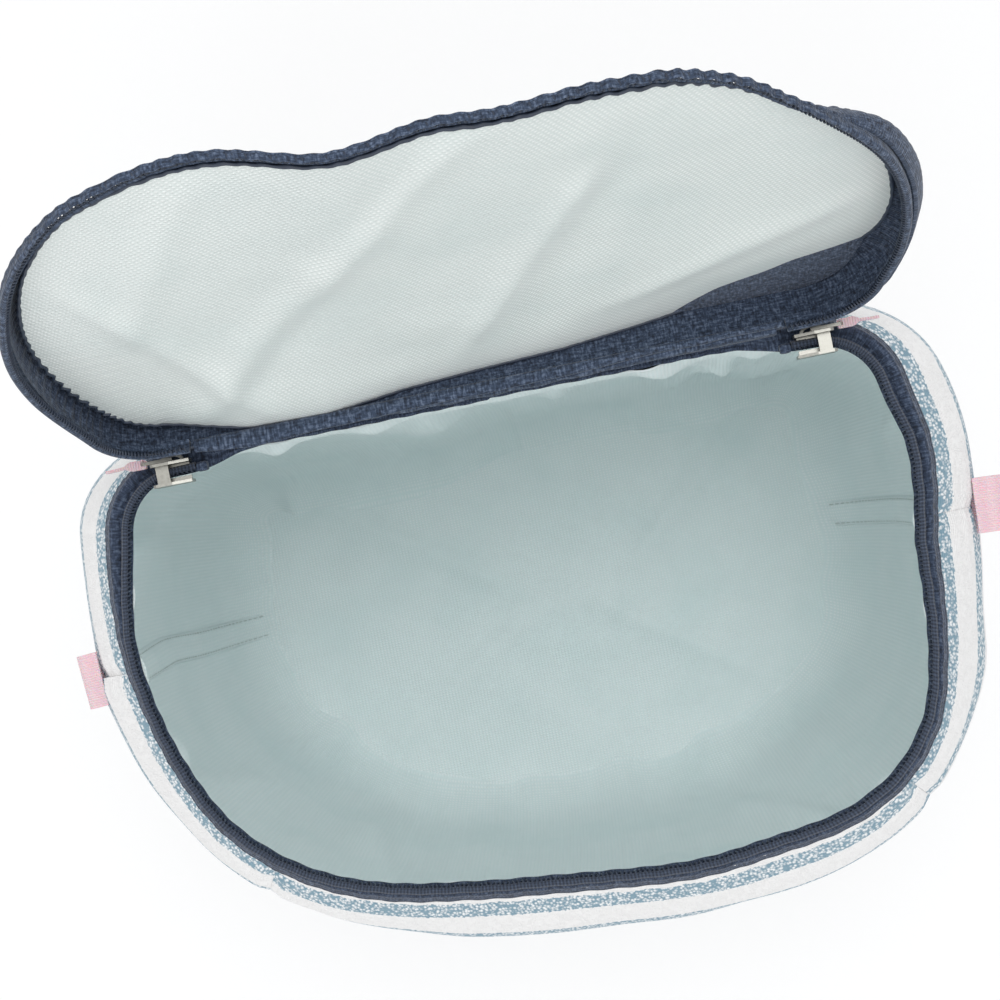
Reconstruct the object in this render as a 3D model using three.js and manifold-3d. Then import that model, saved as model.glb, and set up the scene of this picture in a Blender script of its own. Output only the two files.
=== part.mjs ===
// Insulated lunch bag: a tall oval cooler bag with a padded, zipped lid that folds back on a fabric hinge.
//
// Millimetres, +Z up. The origin is the middle of the bag's footprint, on its flat bottom face.
// +X is to the user's right, the front faces -Y, and the lid hinges along the back (+Y).
// The lid is modelled shut and then turned about its hinge line to stand open.
import * as THREE from 'three';
import { mergeVertices } from 'three/addons/utils/BufferGeometryUtils.js';
import Module from 'manifold-3d';

// Driving dimensions of the mouth, seen from above
const MOUTH_HALF_WIDTH = 126;
const MOUTH_DEPTH = 158;
const CORNER_RADIUS = 24;
const CORNER_SWEEP = THREE.MathUtils.degToRad(80);
const SIDE_RADIUS = 150;
const FRONT_SQUARENESS = 2.6;

// Driving dimensions of the body
const BODY_HEIGHT = 240;
const BELLY_HEIGHT = 150;
const BELLY_BULGE = 24;
const FOOT_BULGE = 8;
const BULGE_POWER = 2.2;
const BACK_BULGE_SHARE = 0.5;
const SIDE_SEAM_FORWARD = 70;
const FRONT_SEAM_HALF_WIDTH = 95;

// Wall and floor build-up, from the outside in
const FIT_GAP = 0.3;
const OUTER_FABRIC = 1.2;
const WALL_FOAM = 4.5;
const LINER_FILM = 0.7;
const BASE_FABRIC = 2.2;
const STIFFENER_BOARD = 2;
const BASE_FOAM = 5;
const SEAM_TAPE_WIDTH = 9;

// Rim binding and zipper
const BINDING_THICKNESS = 1;
const BINDING_LEG = 2;
const ZIP_INSET = 5.5;
const TAPE_THICKNESS = 0.8;
const RIM_TAPE_HEIGHT = 1.9;
const LID_TAPE_HEIGHT = 2.5;
const TOOTH_HALF_WIDTH = 1.6;
const TOOTH_NECK_HALF_WIDTH = 1.25;
const TOOTH_HEIGHT = 2.2;
const TOOTH_PITCH = 4.5;
const COIL_SPACING = 1.8;
const ZIP_START_BEHIND_CORNER = 7;
const ZIP_END_TAB = 3.3;

// Slider, its pull tab and ribbon
const SLIDER_LENGTH = 12;
const SLIDER_PLATE = 0.9;
const SLIDER_CHANNEL_CLEARANCE = 1.15;
const SLIDER_LIP_REACH = 0.35;
const SLIDER_LIP = 1;
const SLIDER_BRIDGE = 1;
const SLIDER_TOP_CLEARANCE = 0.9;
const SLIDER_NOSE_DROP = 1.4;
const SLIDER_CHAMFER = 1;
const BAIL_ABOVE_LIP = 1.2;
const TRACK_SAG = 0.5;
const BAIL_HALF_LENGTH = 4;
const BAIL_RISE = 2.6;
const BAIL_THICKNESS = 0.9;
const BAIL_WIDTH = 1.8;
const PIN_THICKNESS = 1;
const PIN_GAP = 0.35;
const TAB_WIDTH = 4.2;
const TAB_WINDOW_LENGTH = 5;
const TAB_BAR = 1.1;
const TAB_EYE = 2;
const TAB_CHAMFER = 1;
const BAIL_SIDE_CLEARANCE = 0.4;
const RIBBON_FOLD = 0.65;
const RIBBON_WIDTH = 2.6;
const RIBBON_LENGTH = 13;
const RIBBON_TAPER = 1;

// Lid, measured shut
const LID_TRAY_DEPTH = 10;
const LID_WEDGE = 9;
const GUSSET_INSET = 2;
const GUSSET_HINGE_INSET = 0.4;
const GUSSET_THICKNESS = 1.2;
const GUSSET_CLEARANCE = 0.6;
const GUSSET_FRONT_FLARE = 2;
const LID_SIDE_TAPER = 5;
const LID_FRONT_TAPER = 6;
const LID_LINER = 0.8;
const LID_FOAM = 5;
const LID_FABRIC = 1.4;
const LID_CROWN = 3;
const LINER_BINDING = 1.3;
const LID_OPEN_ANGLE = THREE.MathUtils.degToRad(111);

// Fabric hinge strip that stands up from the back of the rim
const HINGE_STRIP_THICKNESS = 1.2;
const HINGE_STRIP_END_GAP = 0.6;

// Webbing
const WEBBING = 1.6;
const LOOP_WIDTH = 18;
const LOOP_REACH = 13;
const LOOP_HEIGHT = 11;
const LOOP_CENTRE_HEIGHT = 196;
const HANDLE_WIDTH = 25;
const HANDLE_HALF_SPAN = 48;
const HANDLE_PATCH = 26;
const HANDLE_RISE = 24;
const ARCH_CONTROL_SHARE = 4 / 3;
const ARCH_SHOULDER_SHARE = 0.6;

// Fineness of the facets
const HALF_COLUMNS = 25;
const TURN_WEIGHT = 40;
const FRONT_STEPS = 400;
const BODY_LEVELS = [0, 0.15, 0.33, 0.54, 0.71, 0.84, 0.925, 1].map((share) => share * BODY_HEIGHT);
const LEVEL_MARGIN = 0.5;
const WELD_DISTANCE = 1e-4;
const ROUND_STEPS = 8;
const HANDLE_STEPS = 16;
const BAIL_STEPS = 10;
const SEARCH_STEP = 0.001;
const COLUMN_MARGIN = 0.01;
const LID_RINGS = [1, 0.82, 0.65];
const LID_RING_HEIGHTS = [0, 0.75, 1];

// Places that follow from the sizes above
const BACK_Y = MOUTH_DEPTH / 2;
const CORNER_X = MOUTH_HALF_WIDTH - SIDE_RADIUS + (SIDE_RADIUS - CORNER_RADIUS) * Math.sin(CORNER_SWEEP);
const CORNER_Y = BACK_Y - CORNER_RADIUS;
const WIDEST_Y = CORNER_Y - (SIDE_RADIUS - CORNER_RADIUS) * Math.cos(CORNER_SWEEP);
const FRONT_DEPTH = WIDEST_Y + MOUTH_DEPTH / 2;
const FOAM_OUT = OUTER_FABRIC + FIT_GAP;
const FOAM_IN = FOAM_OUT + WALL_FOAM;
const LINER_OUT = FOAM_IN + FIT_GAP;
const LINER_IN = LINER_OUT + LINER_FILM;
const WALL_TOP = BODY_HEIGHT - FIT_GAP;
const WALL_FOOT = BASE_FABRIC + FIT_GAP;
const BASE_FOAM_Z = WALL_FOOT + STIFFENER_BOARD + FIT_GAP;
const FLOOR_Z = BASE_FOAM_Z + BASE_FOAM + FIT_GAP;
const FLOOR_TOP = FLOOR_Z + LINER_FILM;
const BINDING_TOP = BODY_HEIGHT + BINDING_THICKNESS;
const RIM_TAPE_Z = BINDING_TOP + FIT_GAP;
const RIM_COIL_Z = RIM_TAPE_Z + RIM_TAPE_HEIGHT + FIT_GAP;
const LID_COIL_Z = RIM_COIL_Z + TOOTH_HEIGHT + COIL_SPACING;
const LID_TAPE_Z = LID_COIL_Z + TOOTH_HEIGHT + FIT_GAP;
const GUSSET_Z = LID_TAPE_Z + LID_TAPE_HEIGHT / 2;
const HINGE_Z = GUSSET_Z - FIT_GAP;
const LID_LINER_Z = GUSSET_Z + LID_TRAY_DEPTH;
const LID_FOAM_Z = LID_LINER_Z + LID_LINER + FIT_GAP;
const GUSSET_TOP = LID_FOAM_Z + LID_FOAM;
const GUSSET_HEIGHT = GUSSET_TOP - GUSSET_Z;
const LID_FABRIC_Z = GUSSET_TOP + FIT_GAP;

const wasm = await Module();
wasm.setup();

const lunchBag = new THREE.Group();
const lidHinge = new THREE.Group();
lidHinge.position.set(0, BACK_Y, HINGE_Z);
lidHinge.rotation.x = -LID_OPEN_ANGLE;
const lid = new THREE.Group();
lid.position.set(0, -BACK_Y, -HINGE_Z);
lidHinge.add(lid);
lunchBag.add(lidHinge);

// Materials

const finish = (color, roughness, metalness = 0) =>
  new THREE.MeshStandardMaterial({ color, roughness, metalness });
const stripedFabric = finish('#d9e2e4', 0.9);
const navyFabric = finish('#36435a', 0.9);
const navyZipper = finish('#222c3f', 0.6);
const paleLiner = finish('#b9cfca', 0.45);
const lidLinerCloth = finish('#d2dbd7', 0.4);
const whiteFoam = finish('#f0efe9', 0.95);
const greyBoard = finish('#6d7276', 0.7);
const pinkWebbing = finish('#e2b3be', 0.85);
const zincAlloy = finish('#b9b9b6', 0.35, 0.9);

// Mesh helpers

function addMesh(parent, name, geometry, material) {
  const mesh = new THREE.Mesh(geometry, material);
  mesh.name = name;
  parent.add(mesh);
  return mesh;
}

function solidFrom(vertices, triangles) {
  let volume = 0;
  const a = new THREE.Vector3();
  const b = new THREE.Vector3();
  const c = new THREE.Vector3();
  for (const [i, j, k] of triangles) {
    a.fromArray(vertices[i]);
    b.fromArray(vertices[j]);
    c.fromArray(vertices[k]);
    volume += a.dot(b.cross(c));
  }
  const outward = volume > 0 ? triangles : triangles.map(([i, j, k]) => [i, k, j]);
  const geometry = new THREE.BufferGeometry();
  geometry.setAttribute('position', new THREE.Float32BufferAttribute(vertices.flat(), 3));
  geometry.setIndex(outward.flat());
  geometry.computeVertexNormals();
  return geometry;
}

// A section of [offset, height] points swept along plan stations. It closes on itself, or gets two end faces.
// Every quad is split along its rising diagonal, so that layers which lie on each other have the same facets.
function sweep(stations, sectionAt, closed) {
  const vertices = [];
  for (const station of stations) {
    for (const [offset, z] of sectionAt(station)) {
      vertices.push([station.x + station.nx * offset, station.y + station.ny * offset, z]);
    }
  }
  const points = vertices.length / stations.length;
  const triangles = [];
  const spans = closed ? stations.length : stations.length - 1;
  for (let i = 0; i < spans; i++) {
    const here = i * points;
    const next = ((i + 1) % stations.length) * points;
    for (let j = 0; j < points; j++) {
      const k = (j + 1) % points;
      const rises = vertices[here + k][2] >= vertices[here + j][2];
      if (rises) triangles.push([here + j, next + j, next + k], [here + j, next + k, here + k]);
      else triangles.push([here + j, next + j, here + k], [next + j, next + k, here + k]);
    }
  }
  if (!closed) {
    const capEnd = (station, first, follow) => {
      const outline = sectionAt(station).map(([offset, z]) => new THREE.Vector2(offset, z));
      const turn = Math.sign(THREE.ShapeUtils.area(outline)) * (follow ? 1 : -1);
      for (const [i, j, k] of THREE.ShapeUtils.triangulateShape(outline, [])) {
        const agrees = THREE.ShapeUtils.area([outline[i], outline[j], outline[k]]) * turn > 0;
        triangles.push(agrees ? [first + i, first + j, first + k] : [first + i, first + k, first + j]);
      }
    };
    capEnd(stations[0], 0, true);
    capEnd(stations.at(-1), vertices.length - points, false);
  }
  return solidFrom(vertices, triangles);
}

// A plate with the mouth's outline, whose faces step inwards ring by ring to a middle point
function plate(offsetAt, lowAt, highAt, rings) {
  const vertices = [];
  const count = columns.length;
  const middle = new THREE.Vector2(0, 0);
  const faces = [lowAt, highAt];
  for (const heightAt of faces) {
    rings.forEach((share, ring) => {
      for (const column of columns) {
        const offset = offsetAt(column);
        const edge = new THREE.Vector2(column.x + column.nx * offset, column.y + column.ny * offset);
        const point = middle.clone().lerp(edge, share);
        vertices.push([point.x, point.y, heightAt(ring)]);
      }
    });
    vertices.push([middle.x, middle.y, heightAt(rings.length - 1)]);
  }
  const perFace = rings.length * count + 1;
  const triangles = [];
  for (let i = 0; i < count; i++) {
    const j = (i + 1) % count;
    faces.forEach((_, face) => {
      const put = (a, b, c) => triangles.push(face ? [a, b, c] : [a, c, b]);
      const start = face * perFace;
      for (let ring = 0; ring < rings.length - 1; ring++) {
        const outer = start + ring * count;
        const inner = outer + count;
        put(outer + j, outer + i, inner + i);
        put(outer + j, inner + i, inner + j);
      }
      const last = start + (rings.length - 1) * count;
      put(last + j, last + i, start + perFace - 1);
    });
    triangles.push([j, i, perFace + i], [j, perFace + i, perFace + j]);
  }
  return solidFrom(vertices, triangles);
}

function extrudeShape(shape, depth, curveSegments) {
  return new THREE.ExtrudeGeometry(shape, { depth, bevelEnabled: false, curveSegments });
}

function extrudeOutline(points, depth, holes = []) {
  const shape = new THREE.Shape(points);
  shape.holes = holes.map((hole) => new THREE.Path(hole));
  return extrudeShape(shape, depth, 1);
}

// Lays an extrusion over, so that the y of its shape stands up as z and its depth runs back from y
function layOver(geometry, y) {
  return geometry.rotateX(Math.PI / 2).translate(0, y, 0);
}

// A block from its lowest corner and its size
function block(x, y, z, length, width, height) {
  const box = new THREE.BoxGeometry(length, width, height);
  return box.translate(x + length / 2, y + width / 2, z + height / 2);
}

function toManifold(geometry) {
  const bare = geometry.clone();
  bare.deleteAttribute('normal');
  bare.deleteAttribute('uv');
  const merged = mergeVertices(bare, WELD_DISTANCE);
  return new wasm.Manifold(new wasm.Mesh({
    numProp: 3,
    vertProperties: new Float32Array(merged.attributes.position.array),
    triVerts: new Uint32Array(merged.index.array),
  }));
}

function join(...pieces) {
  const solid = pieces.map(toManifold).reduce((whole, piece) => whole.add(piece));
  const mesh = solid.getMesh();
  const geometry = new THREE.BufferGeometry();
  geometry.setAttribute('position', new THREE.BufferAttribute(mesh.vertProperties, 3));
  geometry.setIndex(new THREE.BufferAttribute(mesh.triVerts, 1));
  geometry.computeVertexNormals();
  return geometry;
}

// Plan of the mouth: straight back, tight back corners, nearly straight sides, full round front.
// One half runs from the middle of the back, round the right side, to the middle of the front.
function finePlanHalf() {
  const points = [];
  const put = (x, y, nx, ny) => points.push({ x, y, nx, ny });
  const arc = (cx, cy, radius, from, to, steps) => {
    for (let i = 1; i <= steps; i++) {
      const turn = from + ((to - from) * i) / steps;
      put(cx + radius * Math.sin(turn), cy + radius * Math.cos(turn), Math.sin(turn), Math.cos(turn));
    }
  };
  put(0, BACK_Y, 0, 1);
  put(CORNER_X, BACK_Y, 0, 1);
  arc(CORNER_X, CORNER_Y, CORNER_RADIUS, 0, CORNER_SWEEP, FRONT_STEPS / 4);
  arc(MOUTH_HALF_WIDTH - SIDE_RADIUS, WIDEST_Y, SIDE_RADIUS, CORNER_SWEEP, Math.PI / 2, FRONT_STEPS / 4);
  const root = 2 / FRONT_SQUARENESS;
  for (let i = 1; i <= FRONT_STEPS; i++) {
    const turn = (Math.PI / 2) * (i / FRONT_STEPS);
    const across = Math.cos(turn) ** root;
    const along = Math.sin(turn) ** root;
    const normal = new THREE.Vector2(
      across ** (FRONT_SQUARENESS - 1) / MOUTH_HALF_WIDTH,
      -(along ** (FRONT_SQUARENESS - 1)) / FRONT_DEPTH).normalize();
    put(MOUTH_HALF_WIDTH * across, WIDEST_Y - FRONT_DEPTH * along, normal.x, normal.y);
  }
  return points;
}

// Columns stand closer together where the outline turns
function planColumns() {
  const fine = finePlanHalf();
  const reach = [0];
  for (let i = 1; i < fine.length; i++) {
    const [p, q] = [fine[i - 1], fine[i]];
    const turn = Math.acos(Math.min(1, p.nx * q.nx + p.ny * q.ny));
    reach.push(reach.at(-1) + Math.hypot(q.x - p.x, q.y - p.y) + TURN_WEIGHT * turn);
  }
  const half = [];
  for (let k = 0; k <= HALF_COLUMNS; k++) {
    const target = (reach.at(-1) * k) / HALF_COLUMNS;
    const i = Math.max(1, reach.findIndex((value) => value >= target - WELD_DISTANCE));
    const share = (target - reach[i - 1]) / (reach[i] - reach[i - 1]);
    half.push(between(fine[i - 1], fine[i], share));
  }
  const mirrored = half.slice(1, -1).reverse().map((p) => ({ x: -p.x, y: p.y, nx: -p.nx, ny: p.ny }));
  return [...half, ...mirrored];
}

function between(p, q, share) {
  const mix = (a, b) => a + (b - a) * share;
  const normal = new THREE.Vector2(mix(p.nx, q.nx), mix(p.ny, q.ny));
  return { x: mix(p.x, q.x), y: mix(p.y, q.y), nx: normal.x, ny: normal.y };
}

const columns = planColumns();

// Distance along the faceted outline, from the middle of the back and clockwise seen from above
const distances = [0];
for (let i = 1; i <= columns.length; i++) {
  const [p, q] = [columns[i - 1], columns[i % columns.length]];
  distances.push(distances.at(-1) + Math.hypot(q.x - p.x, q.y - p.y));
}
const PERIMETER = distances.at(-1);

function stationAt(distance) {
  const along = ((distance % PERIMETER) + PERIMETER) % PERIMETER;
  const i = Math.max(1, distances.findIndex((value) => value >= along));
  const share = (along - distances[i - 1]) / (distances[i] - distances[i - 1]);
  return between(columns[i - 1], columns[i % columns.length], share);
}

// Stations of one stretch: its two ends and every column between them
function stretch(from, to) {
  const inside = [];
  for (let lap = -1; lap <= 1; lap++) {
    distances.slice(0, -1).forEach((distance, i) => {
      const along = distance + lap * PERIMETER;
      const within = along > from + COLUMN_MARGIN && along < to - COLUMN_MARGIN;
      if (within) inside.push({ along, column: columns[i] });
    });
  }
  return [stationAt(from), ...inside.map((entry) => entry.column), stationAt(to)];
}

// Distance to the first station on the right-hand half that passes a test
function findDistance(test) {
  let low = 0;
  let high = PERIMETER / 2;
  while (high - low > SEARCH_STEP) {
    const middle = (low + high) / 2;
    if (test(stationAt(middle))) high = middle;
    else low = middle;
  }
  return high;
}

// 1 on the straight back, falling to 0 on the sides; and the same for the front
const backness = (station) => Math.max(0, station.ny) ** 2;
const frontness = (station) => Math.max(0, -station.ny) ** 2;

// How far the outside of the body stands out from the mouth's outline
function bulgeAtLevel(z) {
  if (z >= BELLY_HEIGHT) {
    return BELLY_BULGE * (1 - ((z - BELLY_HEIGHT) / (BODY_HEIGHT - BELLY_HEIGHT)) ** BULGE_POWER);
  }
  return BELLY_BULGE - (BELLY_BULGE - FOOT_BULGE) * (1 - z / BELLY_HEIGHT) ** BULGE_POWER;
}

function bulge(station, z) {
  const i = Math.max(1, BODY_LEVELS.findIndex((level) => level >= Math.min(z, BODY_HEIGHT)));
  const share = (z - BODY_LEVELS[i - 1]) / (BODY_LEVELS[i] - BODY_LEVELS[i - 1]);
  const low = bulgeAtLevel(BODY_LEVELS[i - 1]);
  const high = bulgeAtLevel(BODY_LEVELS[i]);
  return (low + (high - low) * share) * (1 - (1 - BACK_BULGE_SHARE) * backness(station));
}

// Section of one layer of the body wall, between two depths under the outer face
function wallSection(outer, inner, foot, top) {
  const levels = [foot, ...BODY_LEVELS.filter((z) => z > foot + LEVEL_MARGIN && z < top - LEVEL_MARGIN), top];
  return (station) => [
    ...levels.map((z) => [bulge(station, z) - outer, z]),
    ...levels.toReversed().map((z) => [bulge(station, z) - inner, z]),
  ];
}

const SIDE_SEAM = findDistance((station) => station.y < BACK_Y - SIDE_SEAM_FORWARD);
const FRONT_SEAM = findDistance((station) => station.y < WIDEST_Y && station.x < FRONT_SEAM_HALF_WIDTH);
const ZIP_START = CORNER_X - ZIP_START_BEHIND_CORNER;

// Body shell: four fabric panels and the foam behind them, split at the same seams
const wallPanels = {
  back: [-SIDE_SEAM, SIDE_SEAM],
  right: [SIDE_SEAM, FRONT_SEAM],
  front: [FRONT_SEAM, PERIMETER - FRONT_SEAM],
  left: [PERIMETER - FRONT_SEAM, PERIMETER - SIDE_SEAM],
};
for (const [side, [from, to]] of Object.entries(wallPanels)) {
  const stations = stretch(from + FIT_GAP / 2, to - FIT_GAP / 2);
  const fabric = wallSection(0, OUTER_FABRIC, WALL_FOOT, WALL_TOP);
  const foam = wallSection(FOAM_OUT, FOAM_IN, WALL_FOOT, WALL_TOP);
  addMesh(lunchBag, `outer_${side}_panel`, sweep(stations, fabric, false), stripedFabric);
  addMesh(lunchBag, `foam_${side}_panel`, sweep(stations, foam, false), whiteFoam);
}
const linerWall = wallSection(LINER_OUT, LINER_IN, FLOOR_TOP + FIT_GAP, WALL_TOP);
addMesh(lunchBag, 'liner_wall', sweep(columns, linerWall, true), paleLiner);

// Bound seams on the inside of the liner, at the side seams
for (const [side, seam] of [['right', SIDE_SEAM], ['left', -SIDE_SEAM]]) {
  const section = wallSection(LINER_IN + FIT_GAP, LINER_IN + FIT_GAP + LINER_FILM,
    FLOOR_TOP + 2 * FIT_GAP, WALL_TOP - BINDING_THICKNESS);
  const stations = stretch(seam - SEAM_TAPE_WIDTH / 2, seam + SEAM_TAPE_WIDTH / 2);
  addMesh(lunchBag, `liner_seam_tape_${side}`, sweep(stations, section, false), paleLiner);
}

// Base: navy outer fabric, stiffener board, foam and the liner's floor
function floorLayer(name, under, low, height, material) {
  const outline = columns.map((column) => {
    const offset = bulge(column, low) - under;
    return new THREE.Vector2(column.x + column.nx * offset, column.y + column.ny * offset);
  });
  addMesh(lunchBag, name, extrudeOutline(outline, height).translate(0, 0, low), material);
}
floorLayer('outer_base', 0, 0, BASE_FABRIC, navyFabric);
floorLayer('base_stiffener', LINER_OUT, WALL_FOOT, STIFFENER_BOARD, greyBoard);
floorLayer('base_foam', LINER_OUT, BASE_FOAM_Z, BASE_FOAM, whiteFoam);
floorLayer('liner_floor', LINER_OUT, FLOOR_Z, LINER_FILM, paleLiner);

// Rim: a binding capped over the wall, the zipper tape standing on it, and the row of teeth
const bindingSection = (station) => {
  const legZ = BODY_HEIGHT - BINDING_LEG;
  const leg = bulge(station, legZ) + FIT_GAP;
  return [
    [-LINER_IN, BODY_HEIGHT],
    [FIT_GAP, BODY_HEIGHT],
    [leg, legZ],
    [leg + BINDING_THICKNESS, legZ],
    [FIT_GAP + BINDING_THICKNESS, BINDING_TOP],
    [-LINER_IN, BINDING_TOP],
  ];
};
addMesh(lunchBag, 'rim_binding', sweep(columns, bindingSection, true), navyFabric);

const band = (inner, outer, low, high) => () => [[inner, low], [outer, low], [outer, high], [inner, high]];
const TAPE_IN = -ZIP_INSET - TAPE_THICKNESS / 2;
const TAPE_OUT = -ZIP_INSET + TAPE_THICKNESS / 2;
const zipStations = stretch(ZIP_START, PERIMETER - ZIP_START);
addMesh(lunchBag, 'rim_zipper_tape',
  sweep(zipStations, band(TAPE_IN, TAPE_OUT, RIM_TAPE_Z, RIM_TAPE_Z + RIM_TAPE_HEIGHT), false), navyZipper);

// A row of teeth: a bead whose width alternates between tooth and neck, with one tooth for each pitch
function toothRow(low, firstIsTooth) {
  const count = Math.round((PERIMETER - 2 * ZIP_START) / TOOTH_PITCH) * 2;
  const vertices = [];
  const triangles = [];
  for (let i = 0; i <= count; i++) {
    const station = stationAt(ZIP_START + ((PERIMETER - 2 * ZIP_START) * i) / count);
    const isTooth = (i % 2 === 0) === firstIsTooth;
    const half = isTooth ? TOOTH_HALF_WIDTH : TOOTH_NECK_HALF_WIDTH;
    const corners = [[-half, 0], [half, 0], [half, TOOTH_HEIGHT], [-half, TOOTH_HEIGHT]];
    for (const [across, up] of corners) {
      const offset = across - ZIP_INSET;
      vertices.push([station.x + station.nx * offset, station.y + station.ny * offset, low + up]);
    }
    if (i === count) break;
    for (let j = 0; j < 4; j++) {
      const a = i * 4 + j;
      const b = i * 4 + ((j + 1) % 4);
      triangles.push([a, a + 4, b + 4], [a, b + 4, b]);
    }
  }
  const last = count * 4;
  triangles.push([0, 1, 2], [0, 2, 3], [last, last + 2, last + 1], [last, last + 3, last + 2]);
  return solidFrom(vertices, triangles);
}
addMesh(lunchBag, 'rim_zipper_teeth', toothRow(RIM_COIL_Z, true), navyZipper);

// Folded tabs that close the two ends of the zipper
for (const [side, sign] of [['right', 1], ['left', -1]]) {
  const near = ZIP_START - FIT_GAP - ZIP_END_TAB;
  const ends = [near, near + ZIP_END_TAB].map((distance) => distance * sign).sort((a, b) => a - b);
  const section = band(-ZIP_INSET - TOOTH_HALF_WIDTH, -ZIP_INSET + TOOTH_HALF_WIDTH,
    RIM_TAPE_Z, RIM_COIL_Z + TOOTH_HEIGHT);
  addMesh(lunchBag, `zipper_end_tab_${side}`, sweep(stretch(...ends), section, false), navyFabric);
}

// Hinge strip: the back of the rim, carried up to the fold line
const stripHalf = ZIP_START - ZIP_END_TAB - HINGE_STRIP_END_GAP;
addMesh(lunchBag, 'hinge_strip',
  sweep(stretch(-stripHalf, stripHalf),
    band(-HINGE_STRIP_THICKNESS, 0, RIM_TAPE_Z, HINGE_Z - FIT_GAP), false), navyFabric);

// Webbing loops at the side seams: a folded strap that stands out from the wall
for (const [side, seam] of [['right', SIDE_SEAM], ['left', -SIDE_SEAM]]) {
  const station = stationAt(seam);
  const half = LOOP_HEIGHT / 2;
  const wallAt = (height) => bulge(station, LOOP_CENTRE_HEIGHT + height) + 2 * FIT_GAP;
  const straight = bulge(station, LOOP_CENTRE_HEIGHT) + LOOP_REACH - half;
  const loop = new THREE.Shape();
  loop.moveTo(wallAt(-half), -half);
  loop.lineTo(straight, -half);
  loop.absarc(straight, 0, half, -Math.PI / 2, Math.PI / 2, false);
  loop.lineTo(wallAt(half), half);
  loop.lineTo(wallAt(half - WEBBING), half - WEBBING);
  loop.absarc(straight, 0, half - WEBBING, Math.PI / 2, -Math.PI / 2, true);
  loop.lineTo(wallAt(WEBBING - half), WEBBING - half);
  loop.closePath();
  const geometry = layOver(extrudeShape(loop, LOOP_WIDTH, ROUND_STEPS), LOOP_WIDTH / 2);
  const mesh = addMesh(lunchBag, `side_loop_${side}`, geometry, pinkWebbing);
  mesh.position.set(station.x, station.y, LOOP_CENTRE_HEIGHT);
  mesh.rotation.z = Math.atan2(station.ny, station.nx);
}

// Lid, modelled shut: a padded top panel over a gusset, with its own half of the zipper
// The gusset stands over the rim: flush with the hinge strip at the back, set in a little at the sides, and
// with its foot flared at the front. It leans in on its way up, so the top panel is smaller than the mouth.
const gussetFace = (station, z) => {
  const back = backness(station);
  const front = frontness(station);
  const foot = GUSSET_FRONT_FLARE * front - GUSSET_INSET + (GUSSET_INSET - GUSSET_HINGE_INSET) * back;
  const taper = LID_SIDE_TAPER * (1 - back) + (LID_FRONT_TAPER + GUSSET_FRONT_FLARE - LID_SIDE_TAPER) * front;
  return foot - taper * upGusset(z);
};
const upGusset = (z) => (z - GUSSET_Z) / GUSSET_HEIGHT;
const insideGusset = (station, z) => gussetFace(station, z) - GUSSET_THICKNESS - GUSSET_CLEARANCE;

// The lid is a wedge, thickest at the hinge: its layers tilt down to the front, and the gusset narrows with them
const wedgeDrop = (y) => LID_WEDGE * ((BACK_Y - y) / MOUTH_DEPTH);
const insideWedge = (station, z) =>
  insideGusset(station, GUSSET_Z + ((z - GUSSET_Z) * GUSSET_HEIGHT) / (GUSSET_HEIGHT - wedgeDrop(station.y)));
function tilt(geometry, shareAt = () => 1) {
  const places = geometry.attributes.position;
  for (let i = 0; i < places.count; i++) {
    const z = places.getZ(i);
    places.setZ(i, z - wedgeDrop(places.getY(i)) * shareAt(z));
  }
  geometry.computeVertexNormals();
  return geometry;
}
const gussetSection = (station) => [
  [gussetFace(station, GUSSET_Z) - GUSSET_THICKNESS, GUSSET_Z],
  [gussetFace(station, GUSSET_Z), GUSSET_Z],
  [gussetFace(station, GUSSET_TOP), GUSSET_TOP],
  [gussetFace(station, GUSSET_TOP) - GUSSET_THICKNESS, GUSSET_TOP],
];
addMesh(lid, 'lid_gusset', tilt(sweep(columns, gussetSection, true), upGusset), navyFabric);

const flat = (z) => () => z;
const crowned = (z) => (ring) => z + LID_CROWN * LID_RING_HEIGHTS[ring];
const panelEdge = (station) => gussetFace(station, GUSSET_TOP);
const paddingEdge = (station) => insideGusset(station, GUSSET_TOP);

// The liner meets the gusset at its own level, and stays inside the zipper tape where it hangs low
const linerEdge = (station) => {
  const edge = insideWedge(station, LID_LINER_Z + LID_LINER - wedgeDrop(station.y));
  return station.ny < 0 ? Math.min(edge, TAPE_IN - FIT_GAP) : edge;
};
addMesh(lid, 'lid_liner',
  tilt(plate(linerEdge, flat(LID_LINER_Z), flat(LID_LINER_Z + LID_LINER), [1])), lidLinerCloth);
addMesh(lid, 'lid_foam',
  tilt(plate(paddingEdge, flat(LID_FOAM_Z), crowned(LID_FOAM_Z + LID_FOAM), LID_RINGS)), whiteFoam);
addMesh(lid, 'lid_outer_panel',
  tilt(plate(panelEdge, crowned(LID_FABRIC_Z), crowned(LID_FABRIC_Z + LID_FABRIC), LID_RINGS)), navyFabric);

const linerBindingTop = LID_LINER_Z - FIT_GAP;
const linerBindingSection = (station) => {
  const outer = linerEdge(station);
  return [
    [outer - LINER_BINDING, linerBindingTop - LINER_BINDING],
    [outer, linerBindingTop - LINER_BINDING],
    [outer, linerBindingTop],
    [outer - LINER_BINDING, linerBindingTop],
  ];
};
addMesh(lid, 'lid_liner_binding', tilt(sweep(columns, linerBindingSection, true)), navyZipper);

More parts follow.
